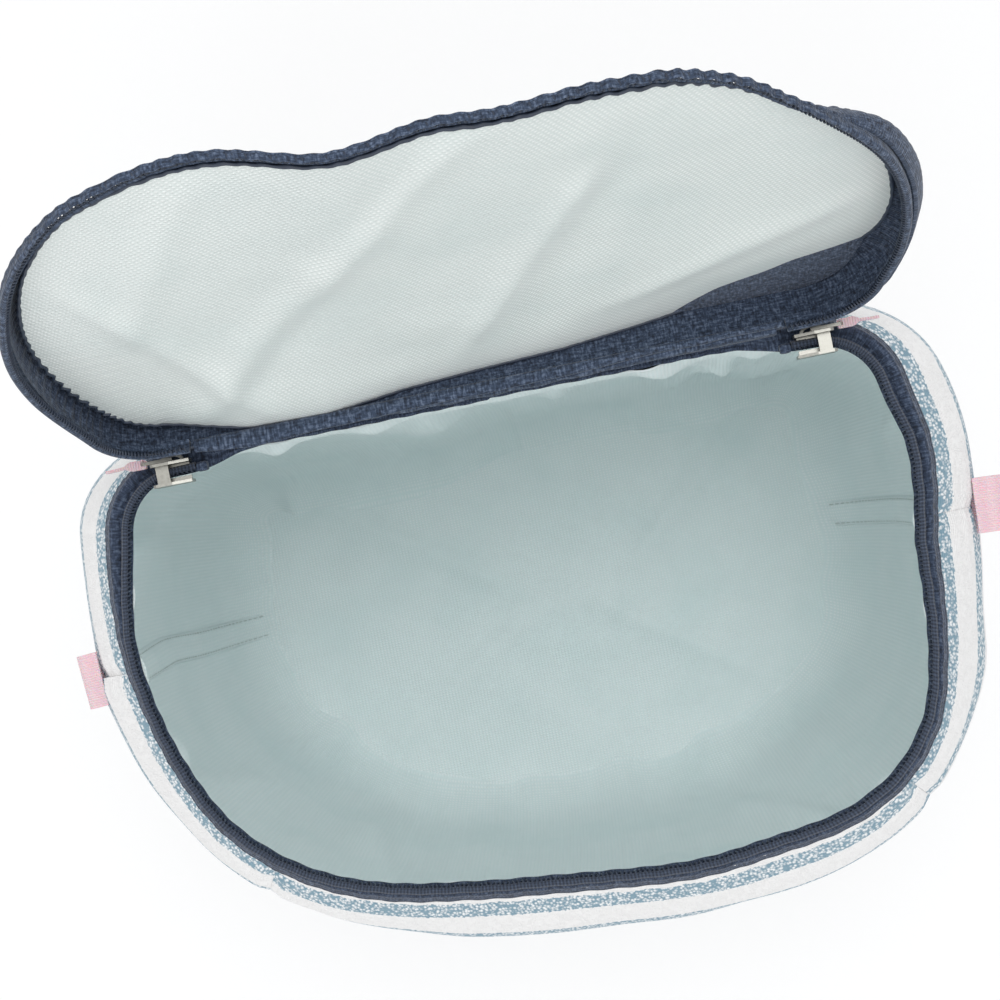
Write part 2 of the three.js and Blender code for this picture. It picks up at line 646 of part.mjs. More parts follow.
// Lid tape: it hangs from a flange that is sewn inside the foot of the gusset
const lidTapeSection = (station) => {
  const flangeZ = LID_TAPE_Z + LID_TAPE_HEIGHT;
  const outer = insideWedge(station, flangeZ + TAPE_THICKNESS);
  return [
    [TAPE_IN, LID_TAPE_Z],
    [TAPE_OUT, LID_TAPE_Z],
    [TAPE_OUT, flangeZ],
    [outer, flangeZ],
    [outer, flangeZ + TAPE_THICKNESS],
    [TAPE_IN, flangeZ + TAPE_THICKNESS],
  ];
};
addMesh(lid, 'lid_zipper_tape', sweep(zipStations, lidTapeSection, false), navyZipper);
addMesh(lid, 'lid_zipper_teeth', toothRow(LID_COIL_Z, false), navyZipper);

// Carry handle: webbing in a low arch over the lid, with a sewn patch at each end
const handleZ = LID_FABRIC_Z + LID_FABRIC + LID_CROWN + FIT_GAP;
const handleEnd = HANDLE_HALF_SPAN + HANDLE_PATCH;

// An arch from one foot to the other, which stands just as high as its rise
function archTo(shape, fromX, toX, foot, rise) {
  const control = foot + rise * ARCH_CONTROL_SHARE;
  shape.bezierCurveTo(fromX * ARCH_SHOULDER_SHARE, control, toX * ARCH_SHOULDER_SHARE, control, toX, foot);
}
const handle = new THREE.Shape();
handle.moveTo(-handleEnd, 0);
handle.lineTo(-HANDLE_HALF_SPAN, 0);
archTo(handle, -HANDLE_HALF_SPAN, HANDLE_HALF_SPAN, 0, HANDLE_RISE);
handle.lineTo(handleEnd, 0);
handle.lineTo(handleEnd, WEBBING);
handle.lineTo(HANDLE_HALF_SPAN, WEBBING);
archTo(handle, HANDLE_HALF_SPAN, -HANDLE_HALF_SPAN, WEBBING, HANDLE_RISE);
handle.lineTo(-handleEnd, WEBBING);
handle.closePath();
const handleGeometry = layOver(extrudeShape(handle, HANDLE_WIDTH, HANDLE_STEPS), HANDLE_WIDTH / 2);
addMesh(lid, 'lid_handle', tilt(handleGeometry.translate(0, 0, handleZ)), pinkWebbing);

// Slider: two upright cheeks joined by a bridge that runs between the rows of teeth, with lips under the
// lower row. x runs along the zipper, y outwards and z up from the rim; the middle of its length is at x = 0.
const CHANNEL_HALF = TOOTH_HALF_WIDTH + SLIDER_CHANNEL_CLEARANCE;
const SLIDER_TOP = GUSSET_Z - SLIDER_TOP_CLEARANCE;
const LIP_TOP = RIM_COIL_Z - TRACK_SAG;
const SLIDER_FOOT = LIP_TOP - SLIDER_LIP;
const CHEEK_OUT = CHANNEL_HALF + SLIDER_PLATE;
const BAIL_Z = LIP_TOP + BAIL_ABOVE_LIP;

function sliderBody() {
  const half = SLIDER_LENGTH / 2;
  const cheekOutline = [
    new THREE.Vector2(-half, SLIDER_FOOT + SLIDER_LIP),
    new THREE.Vector2(SLIDER_CHAMFER - half, SLIDER_FOOT),
    new THREE.Vector2(half - SLIDER_CHAMFER, SLIDER_FOOT),
    new THREE.Vector2(half, SLIDER_FOOT + SLIDER_LIP),
    new THREE.Vector2(half, SLIDER_TOP - SLIDER_LIP),
    new THREE.Vector2(half - SLIDER_CHAMFER, SLIDER_TOP),
    new THREE.Vector2(0, SLIDER_TOP),
    new THREE.Vector2(-half, SLIDER_TOP - SLIDER_NOSE_DROP),
  ];
  const cheek = (y) => layOver(extrudeOutline(cheekOutline, SLIDER_PLATE), y);
  const middle = SLIDER_PLATE / 2;
  const lipWidth = CHANNEL_HALF - TOOTH_HALF_WIDTH + SLIDER_LIP_REACH + middle;
  const lip = (y) => block(SLIDER_CHAMFER - half, y, SLIDER_FOOT,
    SLIDER_LENGTH - 2 * SLIDER_CHAMFER, lipWidth, SLIDER_LIP);
  const bridgeZ = RIM_COIL_Z + TOOTH_HEIGHT + (COIL_SPACING - SLIDER_BRIDGE) / 2;
  const bridge = block(SLIDER_CHAMFER, -CHANNEL_HALF - middle, bridgeZ,
    half - 2 * SLIDER_CHAMFER, 2 * CHANNEL_HALF + SLIDER_PLATE, SLIDER_BRIDGE);
  const inner = BAIL_HALF_LENGTH - BAIL_THICKNESS;
  const bail = new THREE.Shape();
  bail.moveTo(-BAIL_HALF_LENGTH, -middle);
  bail.bezierCurveTo(-BAIL_HALF_LENGTH, BAIL_RISE * ARCH_CONTROL_SHARE,
    BAIL_HALF_LENGTH, BAIL_RISE * ARCH_CONTROL_SHARE, BAIL_HALF_LENGTH, -middle);
  bail.lineTo(inner, -middle);
  bail.bezierCurveTo(inner, (BAIL_RISE - BAIL_THICKNESS) * ARCH_CONTROL_SHARE,
    -inner, (BAIL_RISE - BAIL_THICKNESS) * ARCH_CONTROL_SHARE, -inner, -middle);
  bail.closePath();
  const arch = extrudeShape(bail, BAIL_WIDTH, BAIL_STEPS).translate(0, CHEEK_OUT, BAIL_Z - BAIL_WIDTH / 2);
  return join(cheek(-CHANNEL_HALF), cheek(CHEEK_OUT), lip(-CHANNEL_HALF - middle),
    lip(TOOTH_HALF_WIDTH - SLIDER_LIP_REACH), bridge, arch);
}

// Pull tab: a flat frame whose pin end lies under the bail, with an eye at the other end for the ribbon
const TAB_Y = CHEEK_OUT + PIN_GAP;
const WINDOW_END = PIN_THICKNESS / 2 + TAB_WINDOW_LENGTH;
const EYE_START = WINDOW_END + TAB_BAR;
const EYE_END = EYE_START + TAB_EYE;
const TAB_END = EYE_END + TAB_BAR;

function rectangle(x0, x1, y0, y1) {
  const corners = [[x0, y0], [x1, y0], [x1, y1], [x0, y1]];
  return corners.map(([x, y]) => new THREE.Vector2(x, y));
}

function pullTab() {
  const half = TAB_WIDTH / 2;
  const windowHalf = BAIL_WIDTH / 2 + BAIL_SIDE_CLEARANCE;
  const eyeHalf = RIBBON_WIDTH / 2 + FIT_GAP;
  const outline = [
    new THREE.Vector2(-PIN_THICKNESS / 2, -half),
    new THREE.Vector2(TAB_END - TAB_CHAMFER, -half),
    new THREE.Vector2(TAB_END, TAB_CHAMFER - half),
    new THREE.Vector2(TAB_END, half - TAB_CHAMFER),
    new THREE.Vector2(TAB_END - TAB_CHAMFER, half),
    new THREE.Vector2(-PIN_THICKNESS / 2, half),
  ];
  const holes = [
    rectangle(PIN_THICKNESS / 2, WINDOW_END, -windowHalf, windowHalf),
    rectangle(EYE_START, EYE_END, -eyeHalf, eyeHalf),
  ];
  return layOver(extrudeOutline(outline, PIN_THICKNESS, holes), TAB_Y + PIN_THICKNESS);
}

// Ribbon: folded through the tab's eye, with its two layers sewn together past the fold
function pullRibbon() {
  const inside = EYE_END - FIT_GAP;
  const fold = inside - RIBBON_FOLD;
  const middle = TAB_Y + PIN_THICKNESS / 2;
  const room = PIN_THICKNESS / 2 + FIT_GAP;
  const half = room + RIBBON_FOLD;
  const sewn = TAB_END + FIT_GAP;
  const taperStart = sewn + RIBBON_TAPER;
  const taperEnd = taperStart + RIBBON_TAPER;
  const end = fold + RIBBON_LENGTH;
  const outline = [
    new THREE.Vector2(fold, middle - half),
    new THREE.Vector2(taperStart, middle - half),
    new THREE.Vector2(taperEnd, middle - RIBBON_FOLD),
    new THREE.Vector2(end, middle - RIBBON_FOLD),
    new THREE.Vector2(end, middle + RIBBON_FOLD),
    new THREE.Vector2(taperEnd, middle + RIBBON_FOLD),
    new THREE.Vector2(taperStart, middle + half),
    new THREE.Vector2(fold, middle + half),
  ];
  const hole = rectangle(inside, sewn, middle - room, middle + room);
  return extrudeOutline(outline, RIBBON_WIDTH, [hole]).translate(0, 0, -RIBBON_WIDTH / 2);
}

function mirrorX(geometry) {
  const mirrored = geometry.clone().scale(-1, 1, 1);
  const index = mirrored.index
    ? Array.from(mirrored.index.array)
    : Array.from({ length: mirrored.attributes.position.count }, (_, i) => i);
  for (let i = 0; i < index.length; i += 3) [index[i + 1], index[i + 2]] = [index[i + 2], index[i + 1]];
  mirrored.setIndex(index);
  mirrored.computeVertexNormals();
  return mirrored;
}

// Sliders park where the straight back of the rim meets its corners
const sliderY = BACK_Y - ZIP_INSET - TRACK_SAG;
for (const [side, sign] of [['right', 1], ['left', -1]]) {
  const hand = (geometry) => (sign > 0 ? geometry : mirrorX(geometry));
  const place = (mesh, z) => mesh.position.set(sign * CORNER_X, sliderY, z);
  place(addMesh(lunchBag, `zipper_slider_${side}`, hand(sliderBody()), zincAlloy), 0);
  place(addMesh(lunchBag, `pull_tab_${side}`, hand(pullTab()), zincAlloy), BAIL_Z);
  place(addMesh(lunchBag, `pull_ribbon_${side}`, hand(pullRibbon()), pinkWebbing), BAIL_Z);
}

export default lunchBag;
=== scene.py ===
import functools
import math

import bpy
import numpy as np
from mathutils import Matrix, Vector


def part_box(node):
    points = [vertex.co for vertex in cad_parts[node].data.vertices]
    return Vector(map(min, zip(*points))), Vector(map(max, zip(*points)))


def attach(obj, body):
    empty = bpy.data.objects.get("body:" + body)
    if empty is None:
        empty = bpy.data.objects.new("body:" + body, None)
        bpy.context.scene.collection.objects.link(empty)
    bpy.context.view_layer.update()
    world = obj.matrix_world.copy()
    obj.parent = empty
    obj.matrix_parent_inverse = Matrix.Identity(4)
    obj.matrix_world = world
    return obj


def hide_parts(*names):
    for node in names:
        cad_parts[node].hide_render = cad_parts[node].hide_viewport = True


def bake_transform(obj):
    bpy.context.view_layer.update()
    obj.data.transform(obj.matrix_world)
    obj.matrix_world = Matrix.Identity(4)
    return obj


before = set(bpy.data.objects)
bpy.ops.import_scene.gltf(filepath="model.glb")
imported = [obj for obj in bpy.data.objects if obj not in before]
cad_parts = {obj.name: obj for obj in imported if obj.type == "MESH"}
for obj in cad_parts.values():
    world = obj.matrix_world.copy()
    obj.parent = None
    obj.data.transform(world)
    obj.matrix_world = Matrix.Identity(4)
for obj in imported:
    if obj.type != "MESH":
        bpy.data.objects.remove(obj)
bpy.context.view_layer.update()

# Sizes of the bag, in millimetres, as the solids have them
MM = 0.001
MOUTH_HALF_WIDTH = 126.0
MOUTH_DEPTH = 158.0
CORNER_RADIUS = 24.0
CORNER_SWEEP = math.radians(80)
SIDE_RADIUS = 150.0
FRONT_SQUARENESS = 2.6
BODY_HEIGHT = 240.0
BELLY_HEIGHT = 150.0
BELLY_BULGE = 24.0
FOOT_BULGE = 8.0
BULGE_POWER = 2.2
BACK_BULGE_SHARE = 0.5
SIDE_SEAM_FORWARD = 64.0
FRONT_SEAM_HALF_WIDTH = 95.0
WALL_DEPTH = 5.6
LINER_DEPTH = 6.5
LINER_FILM = 0.6
FLOOR_TOP = 10.8
ZIP_INSET = 5.5
COIL_INSET = 6.05
RIM_COIL_Z = 244.45
BINDING_FOOT = 236.6
LID_COIL_Z = 248.75
ZIP_START_BEHIND_CORNER = 7.0
HINGE_Z = 250.95
OPEN_ANGLE = math.radians(111)
GUSSET_FOOT = 0.3
GUSSET_HEIGHT = 16.1
LID_WEDGE = 9.0
LID_LINER_HEIGHT = 10.3
LID_PAD_TOP = 18.1
LID_CROWN = 3.0
LOOP_HEIGHT = 196.0
LOOP_WIDTH = 18.0
WEBBING_DEPTH = 1.5

BACK_Y = MOUTH_DEPTH / 2
CORNER_X = MOUTH_HALF_WIDTH - SIDE_RADIUS + (SIDE_RADIUS - CORNER_RADIUS) * math.sin(CORNER_SWEEP)
CORNER_Y = BACK_Y - CORNER_RADIUS
WIDEST_Y = CORNER_Y - (SIDE_RADIUS - CORNER_RADIUS) * math.cos(CORNER_SWEEP)
FRONT_DEPTH = WIDEST_Y + MOUTH_DEPTH / 2

# How the soft bag sits, in millimetres: a distance round the mouth, clockwise from the middle of the
# back, and how far the cloth there stands outside the drawn outline, at the rim, at the belly and along
# the lid's edge
RIM_SWAY = ((0, 0), (141, 0), (153, 1.8), (163, 1.4), (173, 0.2), (186, -1.8), (204, 0.2), (221, 3.6),
            (238, 8.6), (256, 10.2), (273, 8.6), (297, 3.2), (322, 1.3), (346, -1.8), (371, -4.4),
            (396, -5.4), (422, -4.7), (448, -3.5), (478, -2.1), (497, -2.4), (519, -1.6), (539, 0.4),
            (558, 0), (713, 0))
BELLY_SWAY = ((0, 0), (118, 0), (141, 3.2), (164, 3.4), (188, 2.7), (200, 2.9), (210, 4.3), (220, 8.5),
              (241, 10.0), (252, 11.2), (263, 11.6), (284, 8.2), (313, 3.0), (345, 0.3), (367, -0.6),
              (388, -2.2), (412, -3.1), (433, -2.6), (450, -3.0), (473, -1.6), (487, -1.9), (502, -0.2),
              (514, 0.5), (525, 2.2), (534, 3.0), (564, 2.8), (584, 4.8), (600, 2.0), (612, 0), (713, 0))
LID_SWAY = ((0, 0), (118, 0), (138, 1.6), (155, 3.0), (172, 3.4), (193, 2.2), (221, 0.2), (238, -3.0),
            (256, -4.5), (274, -2.5), (292, -0.4), (318, -1.4), (344, -3.4), (364, -4.2), (380, -4.0),
            (395, -1.6), (408, 1.0), (423, 2.4), (446, 2.6), (468, 1.2), (490, 0.3), (531, 0.2),
            (560, -0.6), (585, -0.8), (604, 0), (713, 0))
# How far the zipper is drawn towards the outside edge, which narrows the band of the rim
RIM_PINCH = ((0, 4.2), (78, 4.2), (92, 0), (141, 0), (154, 1.2), (165, 1.4), (215, 2.8), (250, 3.2),
             (290, 3.0), (350, 3.2), (420, 3.2), (470, 4.0), (520, 4.2), (545, 3.4), (562, 1.2), (573, 0),
             (621, 0), (635, 4.2), (713, 4.2))

# Camera


def look_from_above():
    """The camera stands over the open bag, a little to the right, and looks nearly straight down."""
    camera_data = bpy.data.cameras.new("camera")
    camera_data.sensor_width = 36.0
    camera_data.lens = 76.06
    camera_data.clip_start = 0.05
    camera_data.clip_end = 20.0
    camera = bpy.data.objects.new("camera", camera_data)
    camera.location = (0.02706, 0.03873, 0.89042)
    camera.rotation_euler = (0.0008, 0.04765, -0.19717)
    bpy.context.scene.collection.objects.link(camera)
    bpy.context.scene.camera = camera


look_from_above()

# Outline of the mouth


def mouth_outline():
    """Points of the mouth from above, clockwise from the middle of the back, with outward normals."""
    half = [(0.0, BACK_Y, 0.0, 1.0)]
    for x in np.linspace(0, CORNER_X, 200)[1:]:
        half.append((x, BACK_Y, 0.0, 1.0))
    for turn in np.linspace(0, CORNER_SWEEP, 80)[1:]:
        nx, ny = math.sin(turn), math.cos(turn)
        half.append((CORNER_X + CORNER_RADIUS * nx, CORNER_Y + CORNER_RADIUS * ny, nx, ny))
    for turn in np.linspace(CORNER_SWEEP, math.pi / 2, 60)[1:]:
        nx, ny = math.sin(turn), math.cos(turn)
        half.append((MOUTH_HALF_WIDTH - SIDE_RADIUS + SIDE_RADIUS * nx, WIDEST_Y + SIDE_RADIUS * ny, nx,
                     ny))
    root = 2 / FRONT_SQUARENESS
    for turn in np.linspace(0, math.pi / 2, 700)[1:]:
        across, along = max(math.cos(turn), 0.0) ** root, math.sin(turn) ** root
        nx = across ** (FRONT_SQUARENESS - 1) / MOUTH_HALF_WIDTH
        ny = -(along ** (FRONT_SQUARENESS - 1)) / FRONT_DEPTH
        size = math.hypot(nx, ny)
        half.append((MOUTH_HALF_WIDTH * across, WIDEST_Y - FRONT_DEPTH * along, nx / size, ny / size))
    half = np.array(half)
    other = half[1:-1][::-1] * np.array([-1, 1, -1, 1])
    whole = np.vstack([half, other, half[:1]])
    steps = np.hypot(np.diff(whole[:, 0]), np.diff(whole[:, 1]))
    return whole, np.concatenate([[0.0], np.cumsum(steps)])


OUTLINE, OUTLINE_REACH = mouth_outline()
AROUND = OUTLINE_REACH[-1]


def walk(distance):
    """x, y and outward normal of the outline at distances from the middle of the back, clockwise."""
    d = np.mod(distance, AROUND)
    x, y, nx, ny = (np.interp(d, OUTLINE_REACH, OUTLINE[:, k]) for k in range(4))
    size = np.hypot(nx, ny)
    return x, y, nx / size, ny / size


def reach_where(test):
    """Distance to the first point of the right-hand half that passes a test."""
    half = OUTLINE[: len(OUTLINE) // 2 + 1]
    return OUTLINE_REACH[int(np.argmax(test(half[:, 0], half[:, 1])))]


SIDE_SEAM = reach_where(lambda x, y: y < BACK_Y - SIDE_SEAM_FORWARD)
FRONT_SEAM = reach_where(lambda x, y: (y < WIDEST_Y) & (x < FRONT_SEAM_HALF_WIDTH))
ZIP_START = CORNER_X - ZIP_START_BEHIND_CORNER


def bulge(z):
    """How far the body's outside stands out from the mouth's outline at a height."""
    z = np.asarray(z, float)
    above = np.clip((z - BELLY_HEIGHT) / (BODY_HEIGHT - BELLY_HEIGHT), 0, 1)
    below = np.clip(1 - z / BELLY_HEIGHT, 0, 1)
    return np.where(z >= BELLY_HEIGHT, BELLY_BULGE * (1 - above ** BULGE_POWER),
                    BELLY_BULGE - (BELLY_BULGE - FOOT_BULGE) * below ** BULGE_POWER)


def backness(ny):
    return np.maximum(0, ny) ** 2


def frontness(ny):
    return np.maximum(0, -ny) ** 2


def body_bulge(z, ny):
    """The bulge at a height where the outline faces a way: it is half as full at the back."""
    return bulge(z) * (1 - (1 - BACK_BULGE_SHARE) * backness(ny))


def turns(count):
    """Angles of a section's points, once round."""
    return np.linspace(0, 2 * np.pi, count + 1)[:-1]


def grid(a, b):
    return np.meshgrid(a, b, indexing="ij")


def from_back(s):
    """Distance to the middle of the back, the short way round."""
    return np.abs(np.mod(s + AROUND / 2, AROUND) - AROUND / 2)


# Soft shapes


def soft_noise(x, y, z=0.0, seed=0):
    """Smooth noise from -1 to 1 with a grain of one unit."""
    x, y, z = np.broadcast_arrays(np.asarray(x, float), np.asarray(y, float), np.asarray(z, float))
    cell = [np.floor(v) for v in (x, y, z)]
    part = [v - c for v, c in zip((x, y, z), cell)]
    ease = [p * p * (3 - 2 * p) for p in part]
    total = np.zeros(x.shape)
    for i in (0, 1):
        for j in (0, 1):
            for k in (0, 1):
                mix = (cell[0] + i) * 127.1 + (cell[1] + j) * 311.7 + (cell[2] + k) * 74.7 + seed * 53.3
                value = np.mod(np.sin(mix) * 43758.5453, 1.0) * 2 - 1
                weight = ((ease[0] if i else 1 - ease[0]) * (ease[1] if j else 1 - ease[1])
                          * (ease[2] if k else 1 - ease[2]))
                total += value * weight
    return total


def crease(x, y, start, end, width, fade=18.0):
    """A soft ridge of height 1 along a line between two points."""
    (x0, y0), (x1, y1) = start, end
    length = math.hypot(x1 - x0, y1 - y0)
    ux, uy = (x1 - x0) / length, (y1 - y0) / length
    along = (x - x0) * ux + (y - y0) * uy
    aside = -(x - x0) * uy + (y - y0) * ux
    beyond = np.maximum(0, np.maximum(-along, along - length))
    return np.exp(-(aside / width) ** 2) * np.exp(-(beyond / fade) ** 2)


def eased(table, place):
    """Reads a table of places and values, with its corners smoothed over about 10 mm."""
    places, values = np.array(table).T
    fine = np.arange(places[0], places[-1] + 1)
    bell = np.exp(-(np.arange(-18, 19) / 6.0) ** 2)
    rough = np.interp(np.arange(fine[0] - 18, fine[-1] + 19), places, values)
    return np.interp(place, fine, np.convolve(rough, bell / bell.sum(), "valid"))


def sway(s, z):
    """How far the settled bag stands outside its drawn outline: it fades towards the flat base."""
    up = np.clip((z - 178) / (BODY_HEIGHT - 178), 0, 1)
    up = up * up * (3 - 2 * up)
    down = 0.2 + 0.8 * np.clip(z / 150, 0, 1) ** 1.2
    d = np.mod(s, AROUND)
    return (eased(RIM_SWAY, d) * up + eased(BELLY_SWAY, d) * (1 - up)) * down


def pinch(s):
    return eased(RIM_PINCH, np.mod(s, AROUND))


def near_rim(z):
    """0 down in the bag and 1 at its rim."""
    up = np.clip((z - 220) / 17, 0, 1)
    return up * up * (3 - 2 * up)


def far_thin(s):
    """1 along the middle of the lid's far edge, where the lid is squashed thin, and 0 elsewhere."""
    return eased(((0, 0), (222, 0), (258, 1), (440, 1), (475, 0.4), (500, 0), (713, 0)), np.mod(s, AROUND))


def on_body(s, offset, z):
    """Points of the settled bag from distances round the mouth, offsets outside the outline and
    heights."""
    x, y, nx, ny = walk(s)
    out = offset + sway(s, z)
    return np.stack(np.broadcast_arrays(x + nx * out, y + ny * out, z), axis=-1)


def lid_outline(s, offset):
    """x and y of the shut lid at distances round the mouth and an offset outside the outline."""
    x, y, nx, ny = walk(s)
    out = offset + eased(LID_SWAY, np.mod(s, AROUND))
    return x + nx * out, y + ny * out


def wedge(y):
    """How much lower the lid's layers lie than at the hinge, because the lid thins towards its front."""
    return LID_WEDGE * (BACK_Y - y) / MOUTH_DEPTH


def lid_flop(x, y):
    """How far the soft lid has sagged out of its plane, most of it near its far edge."""
    forward = np.clip((BACK_Y - y) / MOUTH_DEPTH, 0, 1.1)
    return eased(FAR_FLOP, x) * forward ** 1.8 + 1.1 * soft_noise(x / 60, y / 60, seed=5) * forward


# The sag along the far edge, from the left end of the lid to the right
FAR_FLOP = ((-160, 2.6), (-118, 2.6), (-100, 2.8), (-89, 3.4), (-80, 2.6), (-60, 2.6), (-45, 1.6),
            (-34, -1.4), (-22, -4.6), (-12, -3.4), (-2, -0.8), (8, 0.2), (16, -1.8), (25, -2.0),
            (34, -1.2), (44, -0.1), (53, 0.2), (63, 1.8), (72, 1.8), (82, 1.6), (92, -2.6), (101, -3.6),
            (160, -3.4))
LID_NARROW = 0.985


def open_lid(x, y, height):
    """Places points of the shut lid, with height counted from the hinge line, as the open lid stands."""
    x, y, height = np.broadcast_arrays(x, y, height)
    forward = (BACK_Y - y) / MOUTH_DEPTH
    wide = x * (LID_NARROW + 0.02 * forward)
    dy = y - BACK_Y
    dz = height + lid_flop(x, y)
    cos, sin = math.cos(OPEN_ANGLE), math.sin(OPEN_ANGLE)
    return np.stack([wide, BACK_Y + dy * cos + dz * sin, HINGE_Z - dy * sin + dz * cos], axis=-1)


# Meshes


def corner_places(*corners):
    """Grid places of the corners of quads, from the row and column of each corner."""
    return np.stack([np.stack(np.broadcast_arrays(*corner), 1) for corner in corners], axis=1)


def grid_quads(n, m, wrap, closed=False):
    """Corner numbers of the quads of an n by m grid, and the grid place of each corner. The grid can wrap
    from its last row to its first, and each row can be closed on itself."""
    i, j = (v.ravel() for v in grid(np.arange(n if wrap else n - 1), np.arange(m if closed else m - 1)))
    k, l = (i + 1) % n, (j + 1) % m
    quads = np.stack([i * m + j, k * m + j, k * m + l, i * m + l], axis=1)
    return quads, corner_places((i, j), (i + 1, j), (i + 1, j + 1), (i, j + 1))


def signed_volume(points, quads):
    a, b, c, d = (points[quads[:, k]] for k in range(4))
    return (np.einsum("ij,ij->i", a, np.cross(b, c)) + np.einsum("ij,ij->i", a, np.cross(c, d))).sum()


def make_mesh(name, points, quads, cloth_places, material, body, replaced=(), sharp=55):
    """A mesh piece from points in millimetres. cloth_places holds two lengths in millimetres for each
    corner of a quad. A quad that names a point twice becomes a triangle."""
    if signed_volume(points, quads) < 0:
        quads = quads[:, ::-1]
        cloth_places = cloth_places[:, ::-1]
    kept = quads != np.roll(quads, -1, axis=1)
    corners = kept.sum(axis=1)
    loops = quads[kept]
    mesh = bpy.data.meshes.new(name)
    mesh.vertices.add(len(points))
    mesh.vertices.foreach_set("co", (points * MM).astype(np.float32).ravel())
    mesh.loops.add(len(loops))
    mesh.loops.foreach_set("vertex_index", loops.astype(np.int32))
    mesh.polygons.add(len(quads))
    mesh.polygons.foreach_set("loop_start", (np.cumsum(corners) - corners).astype(np.int32))
    mesh.update(calc_edges=True)
    layer = mesh.uv_layers.new(name="cloth")
    layer.data.foreach_set("uv", (cloth_places[kept] * MM).astype(np.float32).ravel())
    mesh.polygons.foreach_set("use_smooth", np.ones(len(quads), bool))
    mesh.set_sharp_from_angle(angle=math.radians(sharp))
    mesh.materials.append(material)
    piece = bpy.data.objects.new(name, mesh)
    bpy.context.scene.collection.objects.link(piece)
    if body:
        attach(piece, body)
    if replaced:
        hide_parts(*replaced)
    return piece


def sew_shell(name, outer, inner, u, v, wrap, material, body, slot, replaced=(), sharp=55):
    """A closed piece of cloth between two grids of points. If it wraps, u has one entry more than the
    grid."""
    n, m = outer.shape[:2]
    points = np.vstack([outer.reshape(-1, 3), inner.reshape(-1, 3)])
    faces, spots = grid_quads(n, m, wrap)
    back = faces[:, ::-1] + n * m
    quads = [faces, back]
    places = [spots, spots[:, ::-1]]
    i = np.arange(n if wrap else n - 1)
    k = (i + 1) % n
    for j, turn in ((0, 1), (m - 1, -1)):
        rim = np.stack([i * m + j, n * m + i * m + j, n * m + k * m + j, k * m + j], axis=1)
        spot = corner_places((i, j), (i, j), (i + 1, j), (i + 1, j))
        quads.append(rim[:, ::turn])
        places.append(spot[:, ::turn])
    if not wrap:
        j = np.arange(m - 1)
        for i, turn in ((0, -1), (n - 1, 1)):
            rim = np.stack([i * m + j, n * m + i * m + j, n * m + i * m + j + 1, i * m + j + 1], axis=1)
            spot = corner_places((i, j), (i, j), (i, j + 1), (i, j + 1))
            quads.append(rim[:, ::turn])
            places.append(spot[:, ::turn])
    places = np.vstack(places)
    cloth = np.stack([np.asarray(u)[places[..., 0]], np.asarray(v)[places[..., 1]]], axis=-1)
    return make_mesh(name, points, np.vstack(quads), cloth, material, body, replaced, sharp)


def sew_ring(name, rings, u, v, material, body, replaced=(), wrap=True, sharp=55):
    """A closed band: rings is stations by section points by 3, and the section closes on itself."""
    n, m = rings.shape[:2]
    quads, places = grid_quads(n, m, wrap, True)
    points = rings.reshape(-1, 3)
    if not wrap:
        ends = []
        spots = []
        for station in (0, n - 1):
            middle = len(points)
            points = np.vstack([points, rings[station].mean(axis=0)])
            a = np.arange(m)
            b = (a + 1) % m
            fan = np.stack([station * m + a, station * m + b, np.full(m, middle), np.full(m, middle)],
                           axis=1)
            spot = corner_places((station, a), (station, a + 1), (station, a), (station, a))
            turn = 1 if station == 0 else -1
            ends.append(fan[:, ::turn])
            spots.append(spot[:, ::turn])
        places = np.vstack([places, *spots])
        quads = np.vstack([quads, *ends])
    cloth = np.stack([np.asarray(u)[places[..., 0]], np.asarray(v)[places[..., 1]]], axis=-1)
    return make_mesh(name, points, quads, cloth, material, body, replaced, sharp)


def along_length(points):
    """Running length along a row of points."""
    steps = np.linalg.norm(np.diff(points, axis=0), axis=1)
    return np.concatenate([[0.0], np.cumsum(steps)])


def path_normals(path):
    """Normals of a path in a plane, to its left."""
    steps = np.gradient(path, axis=0)
    steps /= np.linalg.norm(steps, axis=1)[:, None]
    return np.stack([-steps[:, 1], steps[:, 0]], axis=1)


def beside(path, normals, push):
    """Both coordinates of a path pushed along its normals, with one row for each row of push."""
    return [path[None, :, k] + normals[None, :, k] * push for k in range(2)]


def sew_stitches(name, line, pitch, radius, material, body):
    """A row of lockstitches along a line: each is a short thread that dips into the cloth at its ends."""
    reach = along_length(line)
    count = max(1, int(reach[-1] / pitch))
    around = turns(5)
    points, quads, cloth = [], [], []
    swell = np.array([0.45, 0.9, 1.0, 0.9, 0.45])
    for number in range(count):
        spots = (number + np.linspace(0.1, 0.86, 5)) * reach[-1] / count
        core = np.stack([np.interp(spots, reach, line[:, k]) for k in range(3)], axis=1)
        ahead = core[-1] - core[0]
        ahead /= np.linalg.norm(ahead)
        aside = np.cross(ahead, (0.3, 0.2, 0.93))
        aside /= np.linalg.norm(aside)
        up = np.cross(aside, ahead)
        start = 25 * number
        section = np.cos(around)[:, None] * aside + np.sin(around)[:, None] * up
        for k in range(5):
            points.append(core[k] + radius * swell[k] * section)
        for k in range(4):
            for a in range(5):
                b = (a + 1) % 5
                quads.append((start + 5 * k + a, start + 5 * k + b, start + 5 * k + 5 + b,
                              start + 5 * k + 5 + a))
                cloth.append(((k, a), (k, a + 1), (k + 1, a + 1), (k + 1, a)))
        for k, turn in ((0, -1), (4, 1)):
            a = start + 5 * k
            for face in ((a, a + 1, a + 2, a + 3), (a, a + 3, a + 4, a + 4)):
                quads.append(face[::turn])
                cloth.append(((k, 0), (k, 1), (k, 2), (k, 3)))
    cloth = np.array(cloth, float) * (0.76 * pitch / 4, radius)
    return make_mesh(name, np.vstack(points), np.array(quads), cloth, material, body)


# Materials


